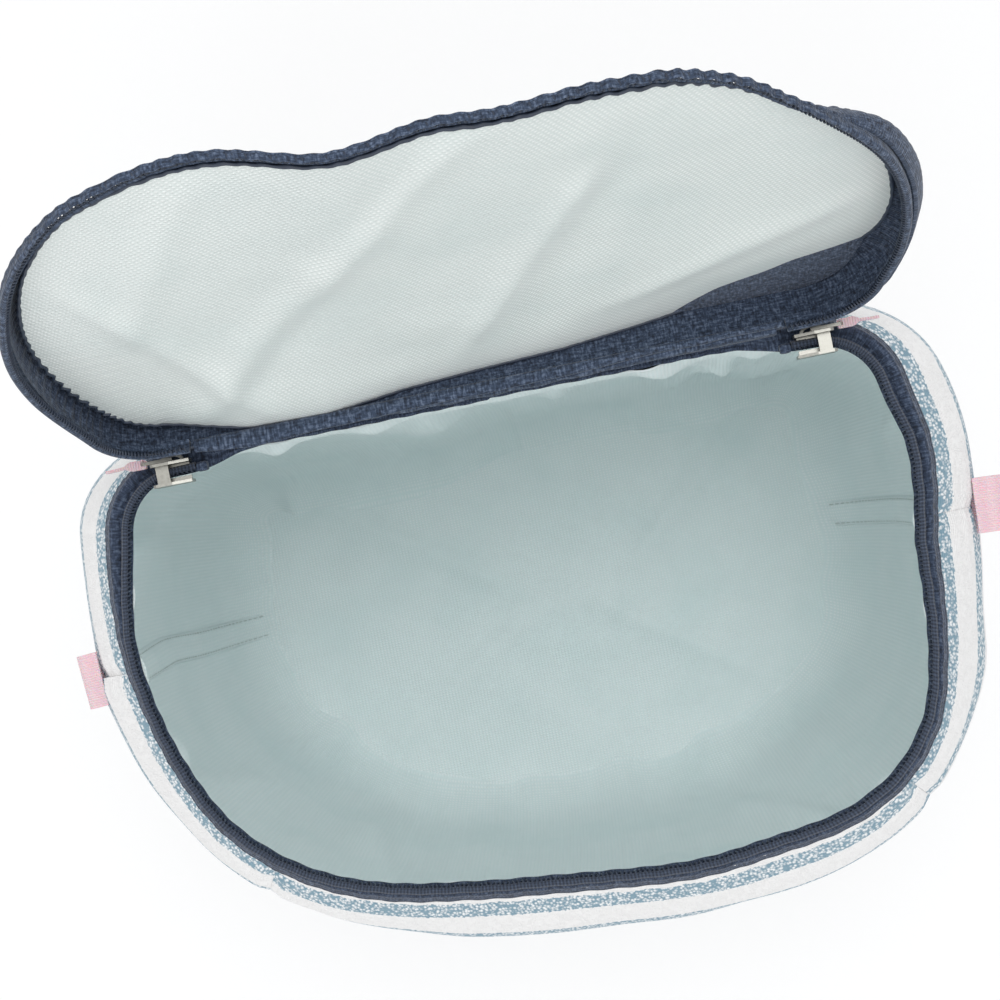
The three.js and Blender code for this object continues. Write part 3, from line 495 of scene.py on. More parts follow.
def paint(hex_text):
    """An sRGB hex colour as the linear colour that a shader takes."""
    values = [int(hex_text[i:i + 2], 16) / 255 for i in (1, 3, 5)]
    return tuple([v / 12.92 if v <= 0.04045 else ((v + 0.055) / 1.055) ** 2.4 for v in values] + [1.0])


def add_node(tree, kind, settings=None, links=None):
    """Adds a shader node of a kind, with its properties, its socket values and its incoming links."""
    node = tree.nodes.new("ShaderNode" + kind)
    for key, value in (settings or {}).items():
        if isinstance(key, int) or key in node.inputs:
            node.inputs[key].default_value = value
        else:
            setattr(node, key, value)
    for key, source in (links or {}).items():
        tree.links.new(source if isinstance(source, bpy.types.NodeSocket) else source.outputs[0],
                       node.inputs[key])
    return node


def bare_material(name):
    """A material with an empty node tree, and the function that adds nodes to it."""
    material = bpy.data.materials.new(name)
    material.use_nodes = True
    material.node_tree.nodes.clear()
    return material, functools.partial(add_node, material.node_tree)


def grain(mm):
    """Noise scale for a grain of so many millimetres, on coordinates in metres."""
    return 1 / (mm * MM)


def repeat(mm):
    """Wave texture scale for a repeat of so many millimetres, on coordinates in metres."""
    return 2 * math.pi / (20 * mm * MM)


def striped_boucle():
    """Yarn-dyed woven polyester with small loops all over and fine cross ribs, matte and a little fuzzy.
    In the blue bands a looped white yarn shows between the blue ones as a scatter of specks, and makes
    their edges ragged. The real loops are half a millimetre; they are drawn 0.95 mm wide and twice as
    tall, to show on a wall that is seen from above."""
    material, add = bare_material("striped_boucle_polyester")
    cloth = add("UVMap", {"uv_map": "cloth"})
    bands = add("TexWave",
                {"bands_direction": "Y", "wave_profile": "SAW", "Scale": repeat(STRIPE_PITCH),
                 "Distortion": 0.26, "Detail": 1.0, "Detail Scale": grain(1.4) / repeat(STRIPE_PITCH)},
                {"Vector": cloth})
    stripe = add("Math", {"operation": "LESS_THAN", 1: STRIPE_BLUE / STRIPE_PITCH},
                 {0: bands.outputs["Fac"]})
    tall = add("Mapping", {"Scale": (1.0, 0.45, 1.0)}, {"Vector": cloth})
    loops = add("TexVoronoi", {"Scale": grain(0.95), "Randomness": 0.85}, {"Vector": tall})
    speck = add("MapRange", {"From Min": 0.66, "From Max": 0.3}, {"Value": loops.outputs["Distance"]})
    yarn = add("TexNoise", {"Scale": grain(1.3), "Detail": 3.0, "Roughness": 0.7}, {"Vector": tall})
    scatter = add("MapRange", {"From Min": 0.3, "From Max": 0.5}, {"Value": yarn})
    loop = add("Math", {"operation": "MULTIPLY"}, {0: speck, 1: scatter})
    blue = add("Mix", {"data_type": "RGBA", 6: paint("#527b90"), 7: paint("#84a5b5")}, {0: yarn})
    blue = add("Mix", {"data_type": "RGBA", 7: paint("#f4f6f7")}, {0: loop, 6: blue.outputs[2]})
    ribs = add("TexWave",
               {"bands_direction": "Y", "Scale": repeat(1.3), "Distortion": 0.6, "Detail Scale": 2.0},
               {"Vector": cloth})
    white = add("Mix", {"data_type": "RGBA", 6: paint("#e9e7e6"), 7: paint("#f9f8f7")},
                {0: ribs.outputs["Fac"]})
    colour = add("Mix", {"data_type": "RGBA"}, {0: stripe, 6: white.outputs[2], 7: blue.outputs[2]})
    relief = add("Math", {"operation": "MULTIPLY_ADD", 1: 0.3}, {0: ribs.outputs["Fac"], 2: loop})
    bump = add("Bump", {"Distance": 0.0005, "Strength": 0.6}, {"Height": relief})
    shader = add("BsdfPrincipled", {"Roughness": 0.92, "Sheen Weight": 0.2, "Sheen Roughness": 0.5},
                 {"Base Color": colour.outputs[2], "Normal": bump})
    add("OutputMaterial", links={"Surface": shader})
    return material


def navy_heather(name, dark, middle, pale, slub):
    """Woven polyester of a dark and a paler navy yarn: short pale slubs lie along both threads, so that
    it looks like fine denim, matte with a faint sheen. Its threads are 0.3 mm apart, drawn as a weave of
    1.1 mm."""
    material, add = bare_material(name)
    cloth = add("UVMap", {"uv_map": "cloth"})
    along = add("Mapping", {"Scale": (grain(3.2 * slub), grain(0.8 * slub), 1.0)}, {"Vector": cloth})
    along = add("TexNoise", {"Scale": 1.0, "Detail": 3.0, "Roughness": 0.65}, {"Vector": along})
    across = add("Mapping", {"Scale": (grain(0.8 * slub), grain(2.6 * slub), 1.0)}, {"Vector": cloth})
    across = add("TexNoise", {"Scale": 1.0, "Detail": 2.0, "Roughness": 0.6}, {"Vector": across})
    mottle = add("Math", {"operation": "ADD"}, {0: along, 1: across})
    tones = add("ValToRGB",
                links={"Fac": add("MapRange", {"From Min": 0.78, "From Max": 1.26}, {"Value": mottle})})
    tones.color_ramp.elements[0].color = paint(dark)
    tones.color_ramp.elements[1].color = paint(pale)
    tones.color_ramp.elements.new(0.5).color = paint(middle)
    warp = add("TexWave", {"bands_direction": "X", "Scale": repeat(1.1)}, {"Vector": cloth})
    weft = add("TexWave", {"bands_direction": "Y", "Scale": repeat(1.1)}, {"Vector": cloth})
    weave = add("Math", {"operation": "MULTIPLY"}, {0: warp.outputs["Fac"], 1: weft.outputs["Fac"]})
    relief = add("Math", {"operation": "MULTIPLY_ADD", 1: 0.8}, {0: weave, 2: mottle})
    bump = add("Bump", {"Distance": 0.00025, "Strength": 0.7}, {"Height": relief})
    shader = add("BsdfPrincipled", {"Roughness": 0.88, "Sheen Weight": 0.15, "Sheen Roughness": 0.45},
                 {"Base Color": tones.outputs["Color"], "Normal": bump})
    add("OutputMaterial", links={"Surface": shader})
    return material


def coated_liner(name, tint, thread, shade, pitch, slant, gloss):
    """Woven nylon, coated on its face: raised threads in rows under a thin film give it a fine dotted
    grain and a soft gloss on its folds. On the lid the rows run slantwise, as a dobby weave's do. The
    threads are 0.4 mm apart and are drawn at three times that, to show."""
    material, add = bare_material(name)
    cloth = add("UVMap", {"uv_map": "cloth"})
    turned = add("Mapping", {"Rotation": (0, 0, slant)}, {"Vector": cloth})
    warp = add("TexWave",
               {"bands_direction": "X", "Scale": repeat(pitch), "Distortion": 0.5, "Detail Scale": 0.6},
               {"Vector": turned})
    weft = add("TexWave",
               {"bands_direction": "Y", "Scale": repeat(pitch * 0.8), "Distortion": 0.5,
                "Detail Scale": 0.6}, {"Vector": turned})
    dots = add("Math", {"operation": "MULTIPLY"}, {0: warp.outputs["Fac"], 1: weft.outputs["Fac"]})
    colour = add("Mix", {"data_type": "RGBA", 6: paint(tint), 7: paint(thread)}, {0: dots})
    cloudy = add("TexNoise", {"Scale": grain(38), "Detail": 3.0}, {"Vector": cloth})
    patch = add("MapRange", {"From Min": 0.45, "From Max": 0.8, "To Max": 0.6}, {"Value": cloudy})
    colour = add("Mix", {"data_type": "RGBA", 7: paint(shade)}, {0: patch, 6: colour.outputs[2]})
    rough = add("Math", {"operation": "MULTIPLY_ADD", 1: 0.16, 2: gloss}, {0: dots})
    bump = add("Bump", {"Distance": 0.0003, "Strength": 0.6}, {"Height": dots})
    shader = add("BsdfPrincipled", {"Coat Weight": 0.1, "Coat Roughness": 0.3, "Sheen Weight": 0.08},
                 {"Base Color": colour.outputs[2], "Roughness": rough, "Normal": bump})
    add("OutputMaterial", links={"Surface": shader})
    return material


def ribbed_weave(name, dark, pale, rib, row, gloss, glow):
    """Narrow woven polyester, ribbed across its width: zipper tape, grosgrain or webbing. Its colour is
    painted paler on the tops of the ribs, a painted highlight, and darker in the yarn between them, painted
    shade. Real ribs are 0.6 mm apart, drawn up to twice as wide."""
    material, add = bare_material(name)
    cloth = add("UVMap", {"uv_map": "cloth"})
    ribs = add("TexWave", {"bands_direction": "X", "Scale": repeat(rib), "Distortion": 0.4},
               {"Vector": cloth})
    rows = add("TexWave", {"bands_direction": "Y", "Scale": repeat(row), "Distortion": 0.4},
               {"Vector": cloth})
    knit = add("Math", {"operation": "MULTIPLY_ADD", 1: 0.5},
               {0: rows.outputs["Fac"], 2: ribs.outputs["Fac"]})
    yarn = add("TexNoise", {"Scale": grain(0.9), "Detail": 2.0, "Roughness": 0.6}, {"Vector": cloth})
    # Paler where the ribs stand high, as a painted highlight, and darker between them, as painted shade
    share = add("Math", {"operation": "MULTIPLY", "use_clamp": True}, {0: knit, 1: yarn})
    colour = add("Mix", {"data_type": "RGBA", 6: paint(dark), 7: paint(pale)}, {0: share})
    bump = add("Bump", {"Distance": 0.0003, "Strength": 0.8}, {"Height": knit})
    shader = add("BsdfPrincipled",
                 {"Roughness": gloss, "Sheen Weight": 0.2, "Subsurface Weight": glow,
                  "Subsurface Scale": 0.002}, {"Base Color": colour.outputs[2], "Normal": bump})
    add("OutputMaterial", links={"Surface": shader})
    return material


def nylon_coil():
    """Drawn nylon monofilament, wound into the zipper's coil: dark navy, with a satin highlight on each
    turn."""
    material, add = bare_material("nylon_coil")
    cloth = add("UVMap", {"uv_map": "cloth"})
    cloud = add("TexNoise", {"Scale": grain(3.0), "Detail": 2.0}, {"Vector": cloth})
    colour = add("Mix", {"data_type": "RGBA", 6: paint("#151d2b"), 7: paint("#3a4558")}, {0: cloud})
    rough = add("Math", {"operation": "MULTIPLY_ADD", 1: 0.2, 2: 0.36}, {0: cloud})
    bump = add("Bump", {"Distance": 0.00005, "Strength": 0.3}, {"Height": cloud})
    shader = add("BsdfPrincipled", {"IOR": 1.53},
                 {"Base Color": colour.outputs[2], "Roughness": rough, "Normal": bump})
    add("OutputMaterial", links={"Surface": shader})
    return material


def plated_zinc():
    """Die-cast zinc alloy with nickel plating, barrel-polished: a soft grey shine with small handling
    marks."""
    material, add = bare_material("nickel_plated_zinc")
    place = add("TexCoord")
    marks = add("TexNoise", {"Scale": grain(1.2), "Detail": 3.0, "Roughness": 0.6},
                {"Vector": place.outputs["Object"]})
    fine = add("TexNoise", {"Scale": grain(0.3), "Detail": 2.0}, {"Vector": place.outputs["Object"]})
    colour = add("Mix", {"data_type": "RGBA", 6: paint("#7f7e79"), 7: paint("#a9a8a1")}, {0: marks})
    rough = add("Math", {"operation": "MULTIPLY_ADD", 1: 0.24, 2: 0.22}, {0: marks})
    bump = add("Bump", {"Distance": 0.00003, "Strength": 0.35}, {"Height": fine})
    shader = add("BsdfPrincipled", {"Metallic": 1.0},
                 {"Base Color": colour.outputs[2], "Roughness": rough, "Normal": bump})
    add("OutputMaterial", links={"Surface": shader})
    return material


def pressed_board():
    """Grey pressed fibre board, inside the base: matte, with a fine felted grain."""
    material, add = bare_material("pressed_fibre_board")
    place = add("TexCoord")
    felt = add("TexNoise", {"Scale": grain(2.0), "Detail": 3.0}, {"Vector": place.outputs["Object"]})
    colour = add("Mix", {"data_type": "RGBA", 6: paint("#5f6468"), 7: paint("#7b8084")}, {0: felt})
    bump = add("Bump", {"Distance": 0.0002, "Strength": 0.5}, {"Height": felt})
    shader = add("BsdfPrincipled", {"Roughness": 0.93}, {"Base Color": colour.outputs[2], "Normal": bump})
    add("OutputMaterial", links={"Surface": shader})
    return material


STRIPE_PITCH = 36.0
STRIPE_BLUE = 12.8

STRIPED = striped_boucle()
NAVY = navy_heather("navy_heather_polyester", "#182131", "#36445a", "#647187", 1.0)
BINDING = navy_heather("navy_grosgrain_binding", "#17202f", "#2f3c52", "#576479", 0.8)
BODY_LINER = coated_liner("pale_aqua_coated_nylon", "#e9f4f4", "#f8fdfd", "#deeeee", 1.3, 0.0, 0.4)
LID_LINER = coated_liner("pale_dobby_coated_nylon", "#d9e0dd", "#f6f9f7", "#d0dbd9", 1.5, 0.5, 0.3)
TAPE = ribbed_weave("woven_zipper_tape", "#161f2e", "#4a566b", 1.1, 0.9, 0.85, 0.0)
COIL = nylon_coil()
WEBBING = ribbed_weave("pink_grosgrain_webbing", "#ebc5ce", "#f5dde2", 0.8, 6.0, 0.7, 0.35)
ZINC = plated_zinc()
NAVY_THREAD = ribbed_weave("navy_polyester_thread", "#1d2636", "#566277", 0.5, 0.5, 0.6, 0.0)
PALE_THREAD = ribbed_weave("pale_polyester_thread", "#c4d2cf", "#eef3f1", 0.5, 0.5, 0.6, 0.0)
BOARD = pressed_board()

# Body wall


def wall_offset(s, z, ny, seams):
    """Outside of the filled wall: the belly, its slack, and the pull of seams, rim and base."""
    offset = body_bulge(z, ny)
    slack = np.clip((BODY_HEIGHT - z) / 40, 0, 1) * np.clip(z / 30, 0, 1)
    waves = 1.8 * soft_noise(s / 75, z / 60, seed=1) + 0.6 * soft_noise(s / 22, z / 30, seed=2)
    offset = offset + slack * waves
    for seam in seams:
        away = np.abs(s - seam)
        offset = offset - 1.2 * np.exp(-(away / 2.4) ** 2)
        offset = offset + 0.35 * np.sin(2 * np.pi * z / 10.5 + seam) * np.exp(-(away / 9) ** 2)
    down = BODY_HEIGHT - z
    ripple = np.sin(2 * np.pi * s / 10.7 + 2 * soft_noise(s / 30, 0, seed=3))
    offset = offset + 0.3 * ripple * np.exp(-(down / 10) ** 2)
    offset = offset - 2.4 * np.exp(-(z / 5.0) ** 2)
    return offset


def sew_wall():
    """Four panels of striped cloth over foam. The stripes don't meet at the seams."""
    left = AROUND - SIDE_SEAM
    seams = (left - AROUND, SIDE_SEAM, FRONT_SEAM, AROUND - FRONT_SEAM, left)
    for (side, shift), start, end in zip(STRIPE_SHIFT.items(), seams, seams[1:]):
        s = np.linspace(start + 0.03, end - 0.03, max(40, int((end - start) / 1.6)))
        z = np.concatenate([np.linspace(2.5, 30, 22), np.linspace(31.5, 205, 90),
                            np.linspace(206, 239.2, 34)])
        S, Z = grid(s, z)
        ny = walk(S)[3]
        out = wall_offset(S, Z, ny, (start, end))
        inside = out - WALL_DEPTH + pinch(S) * near_rim(Z)
        panel = sew_shell(f"striped_wall_{side}", on_body(S, out, Z), on_body(S, inside, Z), s, z + shift,
                          False, STRIPED, "body", "striped_fabric",
                          (f"outer_{side}_panel", f"foam_{side}_panel"))


# Height of the stripes on each panel, in millimetres
STRIPE_SHIFT = {"back": 29.5, "right": 27.0, "front": 33.0, "left": 26.0}

sew_wall()

# Liner


def liner_fold(s, z):
    """How far the loose liner stands off the padding, in soft folds that run down from the rim."""
    down = np.clip((231 - z) / 66, 0, 1) ** 1.3
    drift = 0.5 + 0.5 * soft_noise(s / 52, z / 110, seed=11)
    fine = 0.5 + 0.5 * soft_noise(s / 19, z / 70, seed=12)
    fold = down * (8.5 * drift ** 2 + 6.0 * fine ** 3)
    for s0, z0, s1, z1, rise, width in LINER_CREASES:
        start, end = (AROUND / 2, z0), (AROUND / 2 + s1 - s0, z1)
        ridge = crease(np.mod(s - s0 + AROUND / 2, AROUND), z, start, end, width, 14)
        fold = fold + LINER_CREASE_DEPTH * rise * ridge
    return fold


def liner_stand(s, z):
    """Offset of the liner's hidden side: it follows the padding and curves in to the floor."""
    ny = walk(s)[3]
    base = body_bulge(z, ny) - LINER_DEPTH
    cove = np.clip((COVE_TOP - z) / (COVE_TOP - 10), 0, 1)
    fold = liner_fold(s, z) + 0.4 + COVE_DEPTH * (1 - np.sqrt(1 - cove ** 2))
    for seam in (SIDE_SEAM, AROUND - SIDE_SEAM):
        fold = fold + 0.9 * np.exp(-((s - seam) / 7) ** 2)
    return base - fold + pinch(s) * near_rim(z) + LINER_TUCK * np.clip((z - 233) / 5, 0, 1)


# Where the liner curves in to the floor and by how much, how far its top is tucked under the binding
COVE_TOP = 38.0
COVE_DEPTH = 17.0
LINER_TUCK = 1.0
LINER_CREASE_DEPTH = 1.7

# Creases of the liner: distance round the mouth and height of both ends, rise and width
LINER_CREASES = (
    (-70, 225, -96, 120, 1.8, 5.0), (-40, 228, -20, 140, 1.5, 6.0), (52, 228, 88, 130, 2.0, 6.0),
    (84, 222, 66, 60, 1.6, 5.0), (128, 215, 150, 90, 1.8, 6.0), (205, 226, 190, 110, 1.6, 5.0),
    (262, 220, 300, 70, 1.9, 6.0), (345, 224, 330, 120, 1.5, 5.0), (400, 226, 440, 90, 1.8, 6.0),
    (505, 222, 480, 100, 1.9, 6.0), (560, 226, 590, 80, 1.6, 5.0), (612, 222, 600, 120, 1.5, 5.0),
)


def sew_liner():
    count = int(AROUND / 1.9)
    s = np.linspace(0, AROUND, count + 1)
    z = np.concatenate([np.linspace(10.2, 60, 36), np.linspace(62, 200, 70), np.linspace(201.5, 239.4, 34)])
    S, Z = grid(s[:-1], z)
    stand = liner_stand(S, Z)
    piece = sew_shell("liner_wall_cloth", on_body(S, stand, Z), on_body(S, stand - LINER_FILM, Z), s, z,
                      True, BODY_LINER, "body", "body_liner", ("liner_wall",))


sew_liner()


def disc_grid(edge, middle, *spans):
    """Points from a middle to an edge, as rings by stations, with the share of the way at each. A span gives
    its first and last share and its number of rings."""
    shares = np.concatenate([[INNERMOST_RING]] + [np.linspace(*span) for span in spans])[:, None]
    gx, gy = (middle[k] + (edge[k] - middle[k]) * shares for k in range(2))
    return gx, gy, shares + 0 * gx


INNERMOST_RING = 0.004


def sew_disc(name, top, bottom, flat_x, flat_y, material, body, replaced=(), sharp=55):
    """A closed pad or sheet from two grids of rings by stations, each closed by a fan in its middle."""
    n, m = top.shape[:2]
    points = np.vstack([top.reshape(-1, 3), bottom.reshape(-1, 3), top[0].mean(axis=0),
                        bottom[0].mean(axis=0)])
    face, _ = grid_quads(n, m, False, True)
    back = face[:, ::-1] + n * m
    k = np.arange(m)
    l = (k + 1) % m
    last = (n - 1) * m
    rim = np.stack([last + k, n * m + last + k, n * m + last + l, last + l], axis=1)
    middle = np.full(m, 2 * n * m)
    hub = np.stack([k, l, middle, middle], axis=1)[:, ::-1]
    under = np.stack([n * m + k, n * m + l, middle + 1, middle + 1], axis=1)
    quads = np.vstack([face, back, rim, hub, under])
    flat = np.stack([flat_x, flat_y], axis=-1).reshape(-1, 2)
    cloth = np.vstack([flat, flat, flat[:m].mean(axis=0), flat[:m].mean(axis=0)])[quads]
    return make_mesh(name, points, quads, cloth, material, body, replaced, sharp)


def sew_floor():
    """Floor of the liner over its padding: it turns up at its edge and pulls into creases at its
    corners."""
    s = np.linspace(0, AROUND, 361)[:-1]
    ny = walk(s)[3]
    off = body_bulge(FLOOR_TOP, ny) - LINER_DEPTH - 0.6
    edge = on_body(s, off, FLOOR_TOP + 0 * s)
    gx, gy, share = disc_grid((edge[:, 0], edge[:, 1]), (0.0, 0.0), (0.05, 1, 48))
    puff = 1.4 * soft_noise(gx / 60, gy / 60, seed=21) + 0.6 * soft_noise(gx / 18, gy / 18, seed=22)
    for start, end in FLOOR_CREASES:
        puff = puff + 1.4 * crease(gx, gy, start, end, 5.0, 12)
    top = 11.2 + np.clip(puff, -1.0, 2.6) + 1.2 * share ** 6
    low = 4.9 + 0 * gx
    pad = sew_disc("liner_floor_pad", np.stack([gx, gy, top], axis=-1), np.stack([gx, gy, low], axis=-1),
                   gx, gy, BODY_LINER, "body", ("liner_floor", "base_foam"))



FLOOR_CREASES = (((-88, 60), (-30, 20)), ((92, 62), (40, 16)), ((-70, -40), (-20, -8)),
                 ((80, -45), (24, -6)))

sew_floor()


def sew_liner_bindings():
    """A folded strip over each side seam of the liner, sewn along both edges."""
    for side, seam in (("right", SIDE_SEAM), ("left", AROUND - SIDE_SEAM)):
        z = np.linspace(16, 235.5, 168)
        across = np.linspace(-5.2, 5.2, 15)
        A, Z = grid(across, z)
        S = seam + A + 2.2 * soft_noise(Z / 60, 0.3, seed=31) * np.clip((238 - Z) / 40, 0, 1)
        under = liner_stand(S, Z) - LINER_FILM - 0.05
        rise = 1.0 * (1 - (np.abs(A) / 5.3) ** 6) + 0.14 * np.sin(2 * np.pi * Z / 4.2 + A)
        sew_shell(f"liner_seam_binding_{side}", on_body(S, under, Z), on_body(S, under - 0.25 - rise, Z),
                  across, z, False, BODY_LINER, "body", "body_liner", (f"liner_seam_tape_{side}",))
        for edge in (-4.1, 4.1):
            line = seam + edge + 2.2 * soft_noise(z / 60, 0.3, seed=31) * np.clip((238 - z) / 40, 0, 1)
            rows = on_body(line, liner_stand(line, z) - LINER_FILM - 1.05, z)
            sew_stitches(f"liner_binding_stitches_{side}_{'back' if edge < 0 else 'front'}", rows, 3.2,
                         0.32, PALE_THREAD, "body")


sew_liner_bindings()

# Rim


def rim_wave(s):
    """The rim isn't quite level or even: long waves from the slack and short ones from the stitching."""
    near = from_back(s)
    calm = 1 - np.exp(-((near - CORNER_X - SLIDER_TRAVEL / 2) / 36) ** 6)
    short = 0.12 * np.sin(2 * np.pi * s / 9.5 + 3 * soft_noise(s / 40, 0, seed=42))
    return calm * (0.55 * soft_noise(s / 48, 0.5, seed=41) + short)


# How far each slider runs round its corner of the rim, which is calm and even there
SLIDER_TRAVEL = 33.5


def along_rim(s, section, wave=1.0):
    """Rings of a band along the rim. section gives offsets and heights, with one column for each
    point."""
    offsets, heights = section(s)
    shake = wave * rim_wave(s)[:, None]
    offsets = offsets + shake
    heights = heights + 0.6 * shake
    return on_body(s[:, None], offsets, heights)


def along_zip(s, section):
    """Rings along the rim's half of the zipper, which waves less than the binding."""
    return along_rim(s, section, 0.7)


def spread(values, s):
    return np.tile(np.array(values, float), (len(s), 1))


def sew_rim_binding():
    """Grosgrain binding folded over the wall's edge, with a groove where the zipper tape is sewn on."""
    s = np.linspace(0, AROUND, int(AROUND / 0.95) + 1)

    def section(s):
        leg = body_bulge(BINDING_FOOT, walk(s)[3]) + 0.35
        offsets = spread([0, 0, 0, 0.85, 0.7, 0.3, -0.5, -1.5, -2.3, -2.8, -3.2, -4.5, -6.0, -6.9, -6.8, -4,
                          0], s)
        offsets[:, 0] = leg
        offsets[:, 1] = leg + 0.55
        offsets[:, 2] = leg * 0.5 + 1.0
        offsets[:, 6:] *= ((6.9 - pinch(s)) / 6.9)[:, None]
        heights = spread([BINDING_FOOT, 236.7, 238.3, 240.0, 240.9, 241.35, 241.6, 241.65, 241.45, 240.9,
                          240.75, 240.85, 240.8, 240.4, 239.95, 239.9, 239.9], s)
        return offsets, heights

    rings = along_rim(s[:-1], section)
    width = along_length(np.vstack([rings[0], rings[0][:1]]))
    sew_ring("rim_binding_tape", rings, s, width, BINDING, "body", ("rim_binding",))
    leg = body_bulge(237.6, walk(s)[3]) + 1.05
    wave = rim_wave(s)
    sew_stitches("rim_binding_stitches", on_body(s, leg + wave, 237.8 + 0.6 * wave), 2.8, 0.26, NAVY_THREAD,
                 "body")


sew_rim_binding()


def sew_zipper_half(name, start, end, section, place, material, body, replaced):
    """Woven tape of one half of the zipper."""
    s = np.linspace(start, end, int((end - start) / 0.95))
    rings = place(s, section)
    width = along_length(np.vstack([rings[0], rings[0][:1]]))
    sew_ring(name, rings, s, width, material, body, replaced, wrap=False)


def rim_tape_section(s):
    offsets = spread([-4.9, -4.4, -4.25, -3.98, -4.2, -4.9, -5.7, -6.2, -6.2, -5.6, -4.95, -4.6, -4.75], s)
    heights = spread([241.3, 241.3, 242.6, 244.0, 245.1, 245.6, 245.7, 245.4, 245.0, 245.25, 245.1, 244.2,
                      242.8], s)
    return offsets + pinch(s)[:, None], heights


sew_zipper_half("rim_zipper_tape_cloth", ZIP_START, AROUND - ZIP_START, rim_tape_section,
                along_zip, TAPE, "body", ("rim_zipper_tape",))


def wind_coil(name, middle_offset, middle_height, place, body, replaced, out=0.0, back=0.0):
    """Monofilament wound along the tape's edge: one turn each 1.45 mm, which is near the real pitch."""
    pitch, radius, wire = 1.45, 0.82, 0.3
    count = int((AROUND - 2 * ZIP_START) / pitch)
    steps = 9
    t = np.arange(count * steps + 1) / steps
    s = ZIP_START + 0.5 + (AROUND - 2 * ZIP_START - 1.0) * t / count
    angle = 2 * np.pi * t

    middle = middle_offset + pinch(s) + out * far_thin(s)
    high = middle_height + back * far_thin(s)
    path = place(s, lambda s: ((middle + radius * np.cos(angle))[:, None],
                                   (high + radius * np.sin(angle))[:, None]))[:, 0, :]
    tangent = np.gradient(path, axis=0)
    tangent /= np.linalg.norm(tangent, axis=1)[:, None]
    core = place(s, lambda s: (middle[:, None], high[:, None]))[:, 0, :]
    outward = path - core
    outward -= tangent * np.einsum("ij,ij->i", outward, tangent)[:, None]
    outward /= np.linalg.norm(outward, axis=1)[:, None]
    side = np.cross(tangent, outward)
    around = turns(5)
    rings = path[:, None, :] + wire * (np.cos(around)[None, :, None] * outward[:, None, :]
                                       + np.sin(around)[None, :, None] * side[:, None, :])
    sew_ring(name, rings, s, np.arange(6) * 0.35, COIL, body, replaced, wrap=False)


wind_coil("rim_zipper_coil", -COIL_INSET, RIM_COIL_Z, along_zip, "body",
          ("rim_zipper_teeth",))


def fold_end_tabs():
    """A scrap of cloth folded over each end of the zipper."""
    for side, sign in (("right", 1), ("left", -1)):
        near = ZIP_START - 3.6
        s = sign * np.linspace(near, near + 3.3, 9)
        swell = 1 - 0.18 * np.abs(np.linspace(-1, 1, 9)) ** 3

        def section(s):
            a = turns(14)
            across = np.sign(np.cos(a)) * np.abs(np.cos(a)) ** 0.5
            up = np.sign(np.sin(a)) * np.abs(np.sin(a)) ** 0.5
            return (-ZIP_INSET + 1.55 * swell[:, None] * across[None, :],
                    243.4 + 2.15 * swell[:, None] * up[None, :])

        rings = along_rim(s, section)
        sew_ring(f"zipper_end_fold_{side}", rings, np.abs(s), np.arange(15) * 0.7, BINDING, "body",
                 (f"zipper_end_tab_{side}",), wrap=False)


fold_end_tabs()

# Lid


def gusset_offset(s, ny, share):
    """Outer face of the gusset from its foot, share 0, to its seam with the top panel, share 1."""
    back, front = backness(ny), frontness(ny)
    foot = 2.0 * front - 2.0 + 1.6 * back - FAR_FOOT_IN * far_thin(s)
    taper = 5.0 * (1 - back) + 3.0 * front + FAR_TAPER * far_thin(s)
    left = np.exp(-((s - LEFT_CORNER) / 26) ** 2)
    return foot - taper * share ** (1 + 1.4 * far_thin(s)) + LEFT_CORNER_FULL * left * share ** 0.7


def gusset_rise(s, y):
    """Height of the gusset's seam with the top panel over its foot."""
    return GUSSET_HEIGHT - wedge(y) - FAR_THINNER * far_thin(s)


FAR_TAPER = 2.4
FAR_FOOT_IN = 1.2
FAR_THINNER = 3.4
LEFT_CORNER = 590.0
LEFT_CORNER_FULL = 0.2


def lid_stations(spacing):
    s = np.linspace(0, AROUND, int(AROUND / spacing) + 1)
    _, y, nx, ny = walk(s[:-1])
    return s, y, nx, ny


def gather(s):
    """Strength of the gathers along the gusset: strong at the far right and at the lower left corner."""
    far = 1.6 * np.exp(-((s - 290) / 45) ** 2) + 0.7 * np.exp(-((s - 400) / 60) ** 2)
    corner = 2.0 * np.exp(-((s - (AROUND - CORNER_X - 40)) / 42) ** 2)
    return 0.25 + far + corner


def gather_wave(s):
    """The gathers' folds, about one each 4 to 7 mm."""
    phase = 2 * np.pi * s / 5.2 + 3.5 * soft_noise(s / 22, 0.2, seed=51)
    phase = phase + 1.5 * soft_noise(s / 7, 0.4, seed=52)
    return np.sin(phase)


def sew_gusset():
    """Cloth wall of the lid, which puffs out between its seams and is gathered where it meets the
    panel."""
    s, y, nx, ny = lid_stations(0.8)
    share = np.linspace(0, 1, 26)
    at, thin = s[:-1, None], far_thin(s[:-1])[:, None]
    back, right = backness(ny)[:, None], (np.maximum(0, nx) * (1 - backness(ny)))[:, None]
    out = gusset_offset(at, ny[:, None], share[None, :])
    middle = np.sin(np.pi * share)[None, :]
    puff = 0.8 + GUSSET_PUFF_RIGHT * right ** 2 + 1.2 * (1 - back)
    out = out + puff * middle * (1 - 0.6 * back) * (1 - thin)
    out = out + 1.6 * right ** 2 * (1 - share[None, :])
    out = out + 0.5 * soft_noise(at / 16, share[None, :] * 2.5, seed=53) * middle
    out = out + 0.5 * gather(at) * gather_wave(at) * (share[None, :] ** 2 + 0.12)
    height = GUSSET_FOOT + gusset_rise(at, y[:, None]) * share[None, :]
    height = height + 0.25 * gather(at) * gather_wave(at) * share[None, :]
    outer = open_lid(*lid_outline(at, out), height)
    inner = open_lid(*lid_outline(at, out - 0.9), height)
    piece = sew_shell("lid_gusset_cloth", outer, inner, s, share * 18, True, NAVY, "lid", "navy_fabric",
                      ("lid_gusset",))


GUSSET_PUFF_RIGHT = 3.4

sew_gusset()


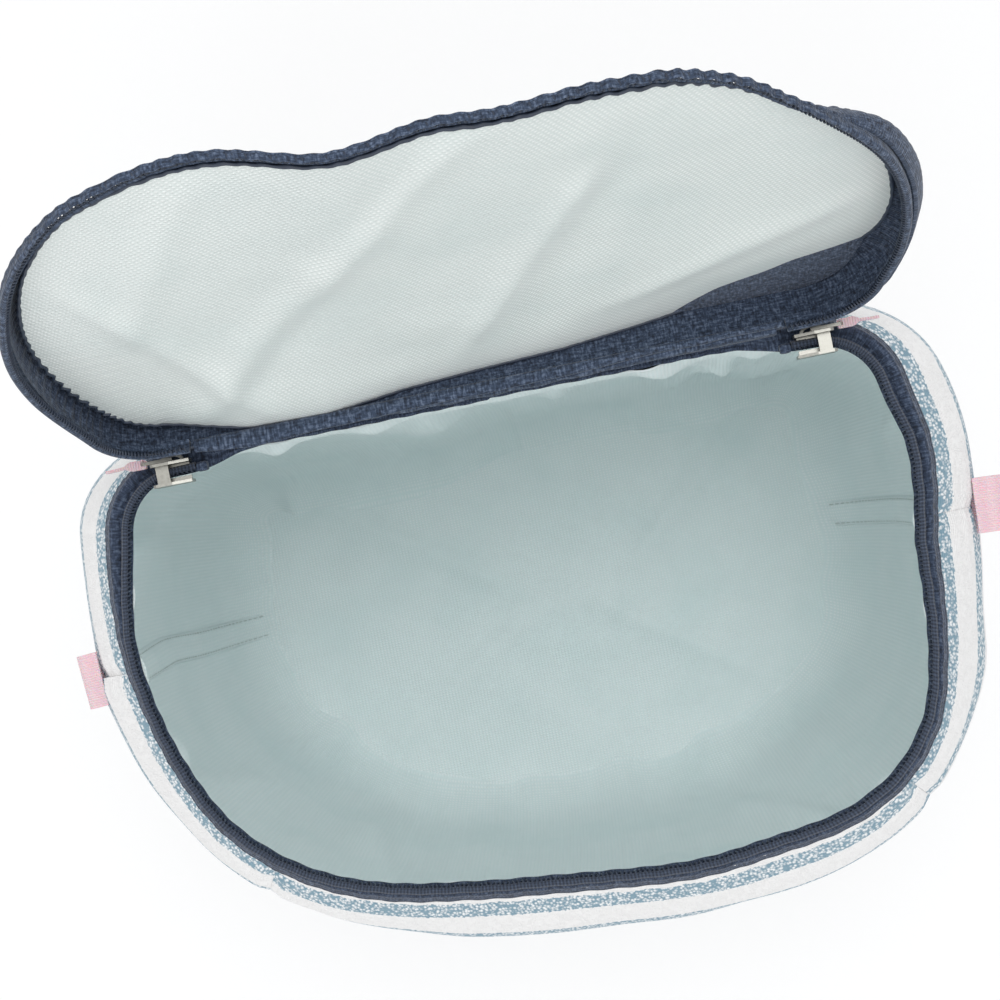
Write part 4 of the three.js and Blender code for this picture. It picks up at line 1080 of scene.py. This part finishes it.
def liner_edge(s, ny):
    """How far inside the outline the lid's liner is sewn, with rounder corners towards the hinge."""
    back, front = backness(ny), frontness(ny)
    at = -2.2 * back - 6.3 * (1 - back) + 0.9 * front + 2.2 * far_thin(s)
    near = from_back(s)
    right = np.mod(s, AROUND) < AROUND / 2
    corner = np.exp(-((near - CORNER_X - 14) / 28) ** 2)
    return at - corner * np.where(right, LINER_CORNER_RIGHT, LINER_CORNER_LEFT)


LINER_CORNER_RIGHT = 12.0
LINER_CORNER_LEFT = 5.0
# How far the liner's edge hangs towards the hinge line, from the left end of the lid to the right
LINER_HANG = ((-130, 1.0), (-98, 2.3), (-74, 7.6), (-49, 8.2), (-25, 5.0), (0, 3.4), (25, 2.2),
              (49, -0.4), (74, -3.6), (98, -5.2), (130, -5.2))


def lid_face(gx, gy, share):
    """Height of the lid's liner over the hinge line: it puffs out and is pulled into soft folds."""
    forward = np.clip((BACK_Y - gy) / MOUTH_DEPTH, 0, 1)
    puff = (LID_PUFF + 1.2 * np.clip(-gx / 120, 0, 1)) * (1 - share ** 4) * (1 - 0.3 * forward)
    places, hangs = np.array(LINER_HANG).T
    puff = puff + np.interp(gx, places, hangs) * np.exp(-((gy - BACK_Y) / 30) ** 2)
    puff = puff + FAR_LIFT * forward ** 5 * np.exp(-((gx + 4) / 88) ** 6)
    folds = 0.0
    for start, end, rise, width, fade in LID_CREASES:
        folds = folds + rise * crease(gx, gy, start, end, width, fade)
    soft = 1.4 * soft_noise(gx / 42, gy / 42, seed=61) + 0.4 * soft_noise(gx / 13, gy / 13, seed=62)
    edge = LID_LINER_HEIGHT - wedge(gy) - 0.6
    return edge - puff - (LID_CREASE_DEPTH * folds + soft) * (1 - share ** 6) * (0.6 + 0.4 * forward)


LID_PUFF = 2.2
LID_CREASE_DEPTH = 1.35
# Creases of the lid's liner: start, end, rise, width and how far each fades out
LID_CREASES = (
    ((12, -70), (-34, -6), 2.4, 6, 20), ((-34, -6), (-84, 62), 2.8, 7, 22),
    ((-12, -40), (-60, 40), -1.8, 8, 22), ((34, -20), (4, 42), 1.8, 5, 18),
    ((48, -30), (22, 44), -1.2, 7, 20), ((-96, -10), (-70, 58), 1.7, 5, 18),
    ((100, 20), (56, 44), 1.3, 6, 18), ((-60, -60), (-88, 0), 1.1, 6, 18),
)
FAR_LIFT = 1.4


def sew_lid_liner():
    """The lid's liner, laid over its foam, with a dark cord round its edge."""
    s, _, _, ny = lid_stations(1.2)
    at = s[:-1]
    edge = liner_edge(at, ny) + 0.35 * gather(at) * gather_wave(at)
    gx, gy, share = disc_grid(lid_outline(at, edge), (0.0, 8.0), (0.03, 0.88, 60), (0.895, 1, 14))
    face = lid_face(gx, gy, share)
    top = open_lid(gx, gy, face)
    bottom = open_lid(gx, gy, face + 0.6)
    piece = sew_disc("lid_liner_cloth", top, bottom, gx, gy, LID_LINER, "lid", ("lid_liner",))
    ring = turns(8)
    size = 0.62 + 0.12 * soft_noise(at / 3.0, 0.1, seed=63)[:, None]
    across, along = lid_outline(at[:, None], (edge + 0.4)[:, None] + size * np.cos(ring)[None, :])
    edge_face = lid_face(*lid_outline(at, edge), np.ones(len(at)))
    cord = open_lid(across, along, edge_face[:, None] + size * np.sin(ring)[None, :])
    sew_ring("lid_liner_edge_binding", cord, s, np.arange(9) * 0.55, COIL, "lid",
             ("lid_liner_binding",))


sew_lid_liner()


def sew_lid_pad():
    """Top panel of the lid: cloth over foam, crowned in the middle, with a rolled seam round its edge."""
    s, _, _, ny = lid_stations(1.8)
    at = s[:-1]
    edge = lid_outline(at, gusset_offset(at, ny, 1.0))
    gx, gy, share = disc_grid(edge, (0.0, 0.0), (0.05, 0.9, 34), (0.91, 1, 12))
    crown = LID_CROWN * (1 - share ** 2.4) + 1.0 * soft_noise(gx / 60, gy / 60, seed=71) * (1 - share ** 6)
    roll = 1.6 * np.sqrt(np.clip(1 - ((share - 0.93) / 0.07).clip(0, 1) ** 2, 0, 1))
    thinner = (FAR_THINNER + 0.4) * far_thin(at)[None, :] * share ** 4
    top_height = LID_PAD_TOP - 1.8 + crown + roll - wedge(gy) - thinner
    top = open_lid(gx, gy, top_height)
    under = np.minimum(LID_LINER_HEIGHT + 1.2 - wedge(gy), top_height - 2.0)
    bottom = open_lid(gx, gy, np.where(share > 0.985, top_height - 1.2, under))
    pad = sew_disc("lid_top_pad", bottom, top, gx, gy, NAVY, "lid",
                   ("lid_outer_panel", "lid_foam"))


sew_lid_pad()


def sew_lid_piping():
    """Corded piping in the seam between the lid's top panel and its gusset."""
    s, y, _, ny = lid_stations(0.8)
    at = s[:-1]
    pucker = gather(at) * gather_wave(at)
    ring = turns(10)
    size = (1.1 - 0.3 * far_thin(at) + 0.2 * pucker)[:, None]
    off = (gusset_offset(at, ny, 1.0) + 0.2 + 0.3 * pucker)[:, None] + size * np.cos(ring)[None, :]
    high = (GUSSET_FOOT + gusset_rise(at, y) + 0.2 * pucker)[:, None] + size * np.sin(ring)[None, :]
    rings = open_lid(*lid_outline(at[:, None], off), high)
    sew_ring("lid_piping", rings, s, np.arange(11) * 0.8, BINDING, "lid")


sew_lid_piping()


def along_lid(s, section):
    """Rings of a band along the lid's zipper. section gives offsets and the shut lid's heights."""
    offsets, heights = section(s)
    return open_lid(*lid_outline(s[:, None], offsets), heights - HINGE_Z)


def lid_tape_section(s):
    flange = gusset_offset(s, walk(s)[3], 0.1) - 1.2
    thin = far_thin(s)[:, None]
    shift = pinch(s)[:, None] + FAR_COIL_OUT * thin
    offsets = shift + spread([-6.2, -5.7, -4.9, -4.2, -3.98, -4.25, -4.3, 0, 0, -4.6, -4.75, -4.6, -4.95,
                              -5.6, -6.1], s)
    middle = shift - TAPE_MIDDLE
    offsets = middle + (offsets - middle) * (1 - FAR_TAPE_FOLDED * thin)
    offsets = offsets + (FAR_RUFFLE * (0.5 + gather(s)) * gather_wave(s))[:, None] * thin
    offsets[:, 7] = np.maximum(flange, offsets[:, 6] + 0.2)
    offsets[:, 8] = np.maximum(flange, offsets[:, 6] + 0.2)
    heights = spread([248.0, 247.6, 247.55, 248.1, 249.2, 250.4, 251.6, 251.9, 252.5, 252.4, 250.6, 249.0,
                      248.4, 248.1, 248.3], s)
    return offsets, heights + FAR_COIL_BACK * thin * np.clip((251.6 - heights) / 2.4, 0, 1)


# How far the zipper flops outward and back along the lid's far edge, and how its tape folds and ruffles
# there
FAR_COIL_OUT = 2.9
FAR_COIL_BACK = 2.6
FAR_TAPE_FOLDED = 0.72
FAR_RUFFLE = 0.22
TAPE_MIDDLE = 5.3


sew_zipper_half("lid_zipper_tape_cloth", ZIP_START, AROUND - ZIP_START, lid_tape_section, along_lid, NAVY,
                "lid", ("lid_zipper_tape",))
wind_coil("lid_zipper_coil", -COIL_INSET, LID_COIL_Z, along_lid, "lid", ("lid_zipper_teeth",), FAR_COIL_OUT,
          FAR_COIL_BACK)

# Hinge cloth


def sew_hinge():
    """One strip of cloth from the back of the rim, over the fold, into the foot of the lid's gusset."""
    x = np.linspace(-HINGE_HALF, HINGE_HALF, 170)
    cos, sin = math.cos(OPEN_ANGLE), math.sin(OPEN_ANGLE)
    path = [(HINGE_FOOT_Y, z) for z in np.linspace(HINGE_FOOT_Z, HINGE_FOLD_Z, 12)]
    for turn in np.linspace(0, 1, 8)[1:-1]:
        a = turn * OPEN_ANGLE
        path.append((HINGE_FOOT_Y + 1.5 * (1 - math.cos(a)), HINGE_FOLD_Z + 1.5 * math.sin(a)))
    for reach in np.linspace(0.6, 5.5, 9):
        path.append((BACK_Y + sin * reach + 0.25, HINGE_Z + cos * reach + 0.2))
    path = np.array(path)
    length = along_length(path)
    normals = path_normals(path)
    X, _ = grid(x, length)
    slack = np.cos(np.pi * X / 190) ** 2 * np.exp(-((length - 9.5) / 4.2) ** 2)[None, :]
    sway = 1.3 * slack + 0.25 * np.sin(2 * np.pi * X / 13 + 2 * soft_noise(X / 40, 0, seed=81)) * slack
    outer = np.stack([X, *beside(path, normals, 0.35 + sway)], axis=-1)
    inner = np.stack([X, *beside(path, normals, sway - 0.45)], axis=-1)
    piece = sew_shell("hinge_cloth", outer, inner, x, length, False, NAVY, "", "navy_fabric",
                      ("hinge_strip",))
    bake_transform(piece)


# The strip: half its length, where its foot stands on the rim, and where it starts to fold
HINGE_HALF = 89.0
HINGE_FOOT_Y = 78.3
HINGE_FOOT_Z = 241.4
HINGE_FOLD_Z = 249.6

sew_hinge()


def sew_hinge_roll():
    """The gusset's foot rolls over the hinge towards the mouth, most near the left end."""
    x = np.linspace(-92, 92, 200)
    places, reaches = np.array(HINGE_ROLL).T
    reach = np.interp(x, places, reaches) + 0.35 * soft_noise(x / 11, 0.2, seed=82)
    ring = turns(16)
    deep = 1.5 + 0.3 * soft_noise(x / 24, 0.7, seed=83)
    y = BACK_Y - 2.3 + deep[:, None] * np.cos(ring)[None, :]
    height = (0.8 - reach / 2)[:, None] + (reach / 2 + 0.9)[:, None] * np.sin(ring)[None, :]
    rings = open_lid(x[:, None] + 0 * y, y, height)
    sew_ring("hinge_roll_cloth", rings, x, np.arange(17) * 0.6, NAVY, "lid", wrap=False)


# How far the rolled foot reaches over the hinge, from the left end of the lid to the right
HINGE_ROLL = ((-92, 2.2), (-74, 4.6), (-49, 3.0), (-25, 2.3), (0, 2.2), (25, 1.8), (49, 0.4), (92, 0.2))

sew_hinge_roll()

# Base


def sew_base():
    """Navy base panel, rounded up a little at its edge, with corded piping in its seam."""
    s = np.linspace(0, AROUND, 421)
    at = s[:-1]
    off = body_bulge(0, walk(at)[3]) - 0.6
    edge = on_body(at, off, 0 * at)
    gx, gy, share = disc_grid((edge[:, 0], edge[:, 1]), (0.0, 0.0), (0.06, 0.94, 22), (0.95, 1, 8))
    lift = 1.1 * np.clip((share - 0.97) / 0.03, 0, 1) ** 2
    top = np.stack([gx, gy, 2.2 + 0 * gx], axis=-1)
    sew_disc("base_panel", top, np.stack([gx, gy, lift], axis=-1), gx, gy, NAVY, "body",
             ("outer_base",))
    ring = turns(12)
    cord = on_body(at[:, None], (off + 0.4)[:, None] + 1.5 * np.cos(ring)[None, :],
                     2.4 + 1.5 * np.sin(ring))
    sew_ring("base_piping", cord, s, np.arange(13) * 0.8, BINDING, "body")


sew_base()

# Webbing


def sew_side_loops():
    """A short strap folded in half and caught in each side seam."""
    for side, seam, sign, reach in LOOPS:
        x, y, nx, ny = (float(v[0]) for v in walk(np.array([seam])))
        base = float(bulge(LOOP_HEIGHT)) + float(sway(np.array([seam]), LOOP_HEIGHT)[0]) + 0.2
        straight = reach - LOOP_HALF
        path = [(base - 1.0, -LOOP_HALF)]
        path += [(base + straight * t, -LOOP_HALF) for t in np.linspace(0.1, 1, 8)]
        path += [(base + straight + LOOP_HALF * math.sin(a), -LOOP_HALF * math.cos(a))
                 for a in np.linspace(0, math.pi, 15)[1:]]
        path += [(base + straight * t, LOOP_HALF) for t in np.linspace(0.9, 0.1, 8)]
        path += [(base - 1.0, LOOP_HALF)]
        path = np.array(path)
        normals = -path_normals(path)
        length = along_length(path)
        across = np.linspace(-LOOP_WIDTH / 2, LOOP_WIDTH / 2, 19)
        A, _ = grid(across, length)
        edge = 1 - 0.35 * (np.abs(A) / (LOOP_WIDTH / 2)) ** 8
        made = []
        for depth in (0.0, -WEBBING_DEPTH):
            out, up = beside(path, normals, depth * edge)
            up = up + 0.35 * np.sin(A / 5.0) * np.clip((out - base) / reach, 0, 1)
            px = x + nx * out - sign * ny * A
            py = y + ny * out + sign * nx * A
            made.append(np.stack([px, py, LOOP_HEIGHT + up], axis=-1))
        sew_shell(f"side_loop_webbing_{side}", *made, across + 40, length, False, WEBBING,
                  "body", "webbing", (f"side_loop_{side}",))


# Side, seam, direction and reach of each loop, and half its height
LOOPS = (("right", SIDE_SEAM, 1, 9.6), ("left", AROUND - SIDE_SEAM, -1, 6.4))
LOOP_HALF = 4.6

sew_side_loops()


def sew_handle():
    """Carry handle: webbing in a low arch with its ends laid flat on the lid."""
    half_span, patch, rise, width = 48.0, 26.0, 23.0, 25.0
    foot = LID_PAD_TOP + LID_CROWN + 0.3
    t = np.linspace(0, 1, 41)
    px = -(1 - t) ** 3 - 1.8 * (1 - t) ** 2 * t + 1.8 * (1 - t) * t ** 2 + t ** 3
    px = px * half_span
    pz = 4 * rise * t * (1 - t)
    path = [(-half_span - patch * k, 0.0) for k in np.linspace(1, 0.06, 12)]
    path += list(zip(px, pz))
    path += [(half_span + patch * k, 0.0) for k in np.linspace(0.06, 1, 12)]
    path = np.array(path)
    normals = path_normals(path)
    length = along_length(path)
    across = np.linspace(-width / 2, width / 2, 21)
    A, _ = grid(across, length)
    edge = 1 - 0.4 * (np.abs(A) / (width / 2)) ** 8
    made = []
    for depth in (WEBBING_DEPTH, 0.0):
        hx, hz = beside(path, normals, depth * edge)
        made.append(open_lid(hx, A, foot + hz - wedge(A)))
    sew_shell("handle_webbing", *made, across + 60, length, False, WEBBING, "lid", "webbing",
              ("lid_handle",))


sew_handle()


def sew_pull_ribbons():
    """Narrow ribbon at each pull tab's eye, fuller where it loops and flat where its two layers meet."""
    for side, sign in (("right", 1), ("left", -1)):
        low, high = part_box(f"pull_ribbon_{side}")
        low, high = np.array(low) / MM, np.array(high) / MM
        middle_y, middle_z = (low[1] + high[1]) / 2, (low[2] + high[2]) / 2
        start, end = (low[0], high[0]) if sign > 0 else (high[0], low[0])
        reach = abs(end - start)
        t = np.concatenate([np.linspace(0, 0.35, 12), np.linspace(0.38, 1, 20)])
        half = 1.05 * np.clip((0.52 - t) / 0.14, 0, 1) ** 0.5 + 0.42
        nose = np.sqrt(np.clip(1 - (1 - t / 0.07).clip(0, 1) ** 2, 0, 1))
        half = half * np.where(t < 0.07, nose, 1)
        drape = 0.35 * np.sin(5 * t) * t
        across = np.linspace(-1.25, 1.25, 7)
        T, A = grid(t, across)
        H = np.interp(T, t, half)
        D = np.interp(T, t, drape)
        made = []
        for turn in (1, -1):
            px = start + sign * reach * T
            py = middle_y + D * 0.5 + turn * H
            made.append(np.stack([px, py, middle_z + A + 0 * T], axis=-1))
        sew_shell(f"pull_ribbon_webbing_{side}", *made, t * 13, across + 20, False, WEBBING,
                  f"pull_{side}", "webbing", (f"pull_ribbon_{side}",))


sew_pull_ribbons()

# Finish of the solids that stay

for node in ("zipper_slider_right", "zipper_slider_left", "pull_tab_right", "pull_tab_left"):
    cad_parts[node].data.materials.clear()
    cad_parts[node].data.materials.append(ZINC)
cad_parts["base_stiffener"].data.materials.clear()
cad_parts["base_stiffener"].data.materials.append(BOARD)

# Floor, background and light


def set_the_room():
    """A plain pale floor that keeps the bag's shadow, with soft even studio light."""
    material, add = bare_material("matte_white_floor")
    diffuse = add("BsdfDiffuse", {"Color": paint("#fdfdfd")})
    glow = add("Emission", {"Color": (1, 1, 1, 1), "Strength": 1.0})
    rays = add("LightPath")
    share = add("Math", {"operation": "MULTIPLY", 1: FLOOR_GLOW}, {0: rays.outputs["Is Camera Ray"]})
    mix = add("MixShader", links={0: share, 1: diffuse, 2: glow})
    add("OutputMaterial", links={"Surface": mix})
    mesh = bpy.data.meshes.new("floor")
    mesh.from_pydata([(-3, -3, 0), (3, -3, 0), (3, 3, 0), (-3, 3, 0)], [], [(0, 1, 2, 3)])
    mesh.materials.append(material)
    floor = bpy.data.objects.new("floor", mesh)
    bpy.context.scene.collection.objects.link(floor)

    world = bpy.data.worlds.new("studio")
    bpy.context.scene.world = world
    world.use_nodes = True
    world.node_tree.nodes.clear()
    add = functools.partial(add_node, world.node_tree)
    rays = add("LightPath")
    seen = add("Math", {"operation": "MAXIMUM"},
               {0: rays.outputs["Is Camera Ray"], 1: rays.outputs["Is Glossy Ray"]})
    soft = add("Background", {"Color": (0.97, 0.985, 1.0, 1), "Strength": SKY_STRENGTH})
    white = add("Background", {"Color": (1, 1, 1, 1), "Strength": 1.0})
    mix = add("MixShader", links={0: seen, 1: soft, 2: white})
    add("OutputWorld", links={"Surface": mix})

    for name, place, size, power in SOFTBOXES:
        lamp = bpy.data.lights.new(name, "AREA")
        lamp.shape = "DISK"
        lamp.size = size
        lamp.energy = power
        light = bpy.data.objects.new(name, lamp)
        light.location = place
        aim = Vector((0, 0, 0.2)) - Vector(place)
        light.rotation_euler = aim.to_track_quat("-Z", "Y").to_euler()
        bpy.context.scene.collection.objects.link(light)


# Share of a plain white glow in the floor as the camera sees it, strength of the even light, and the
# softboxes with their names, places and diameters in metres, and power in watts
FLOOR_GLOW = 0.6
SKY_STRENGTH = 0.8
SOFTBOXES = (
    ("overhead_softbox", (0.1, 0.35, 1.5), 0.7, 5.5),
    ("front_softbox", (-0.3, -1.1, 1.2), 0.8, 3.6),
)

set_the_room()
bpy.context.scene.view_settings.view_transform = "Standard"
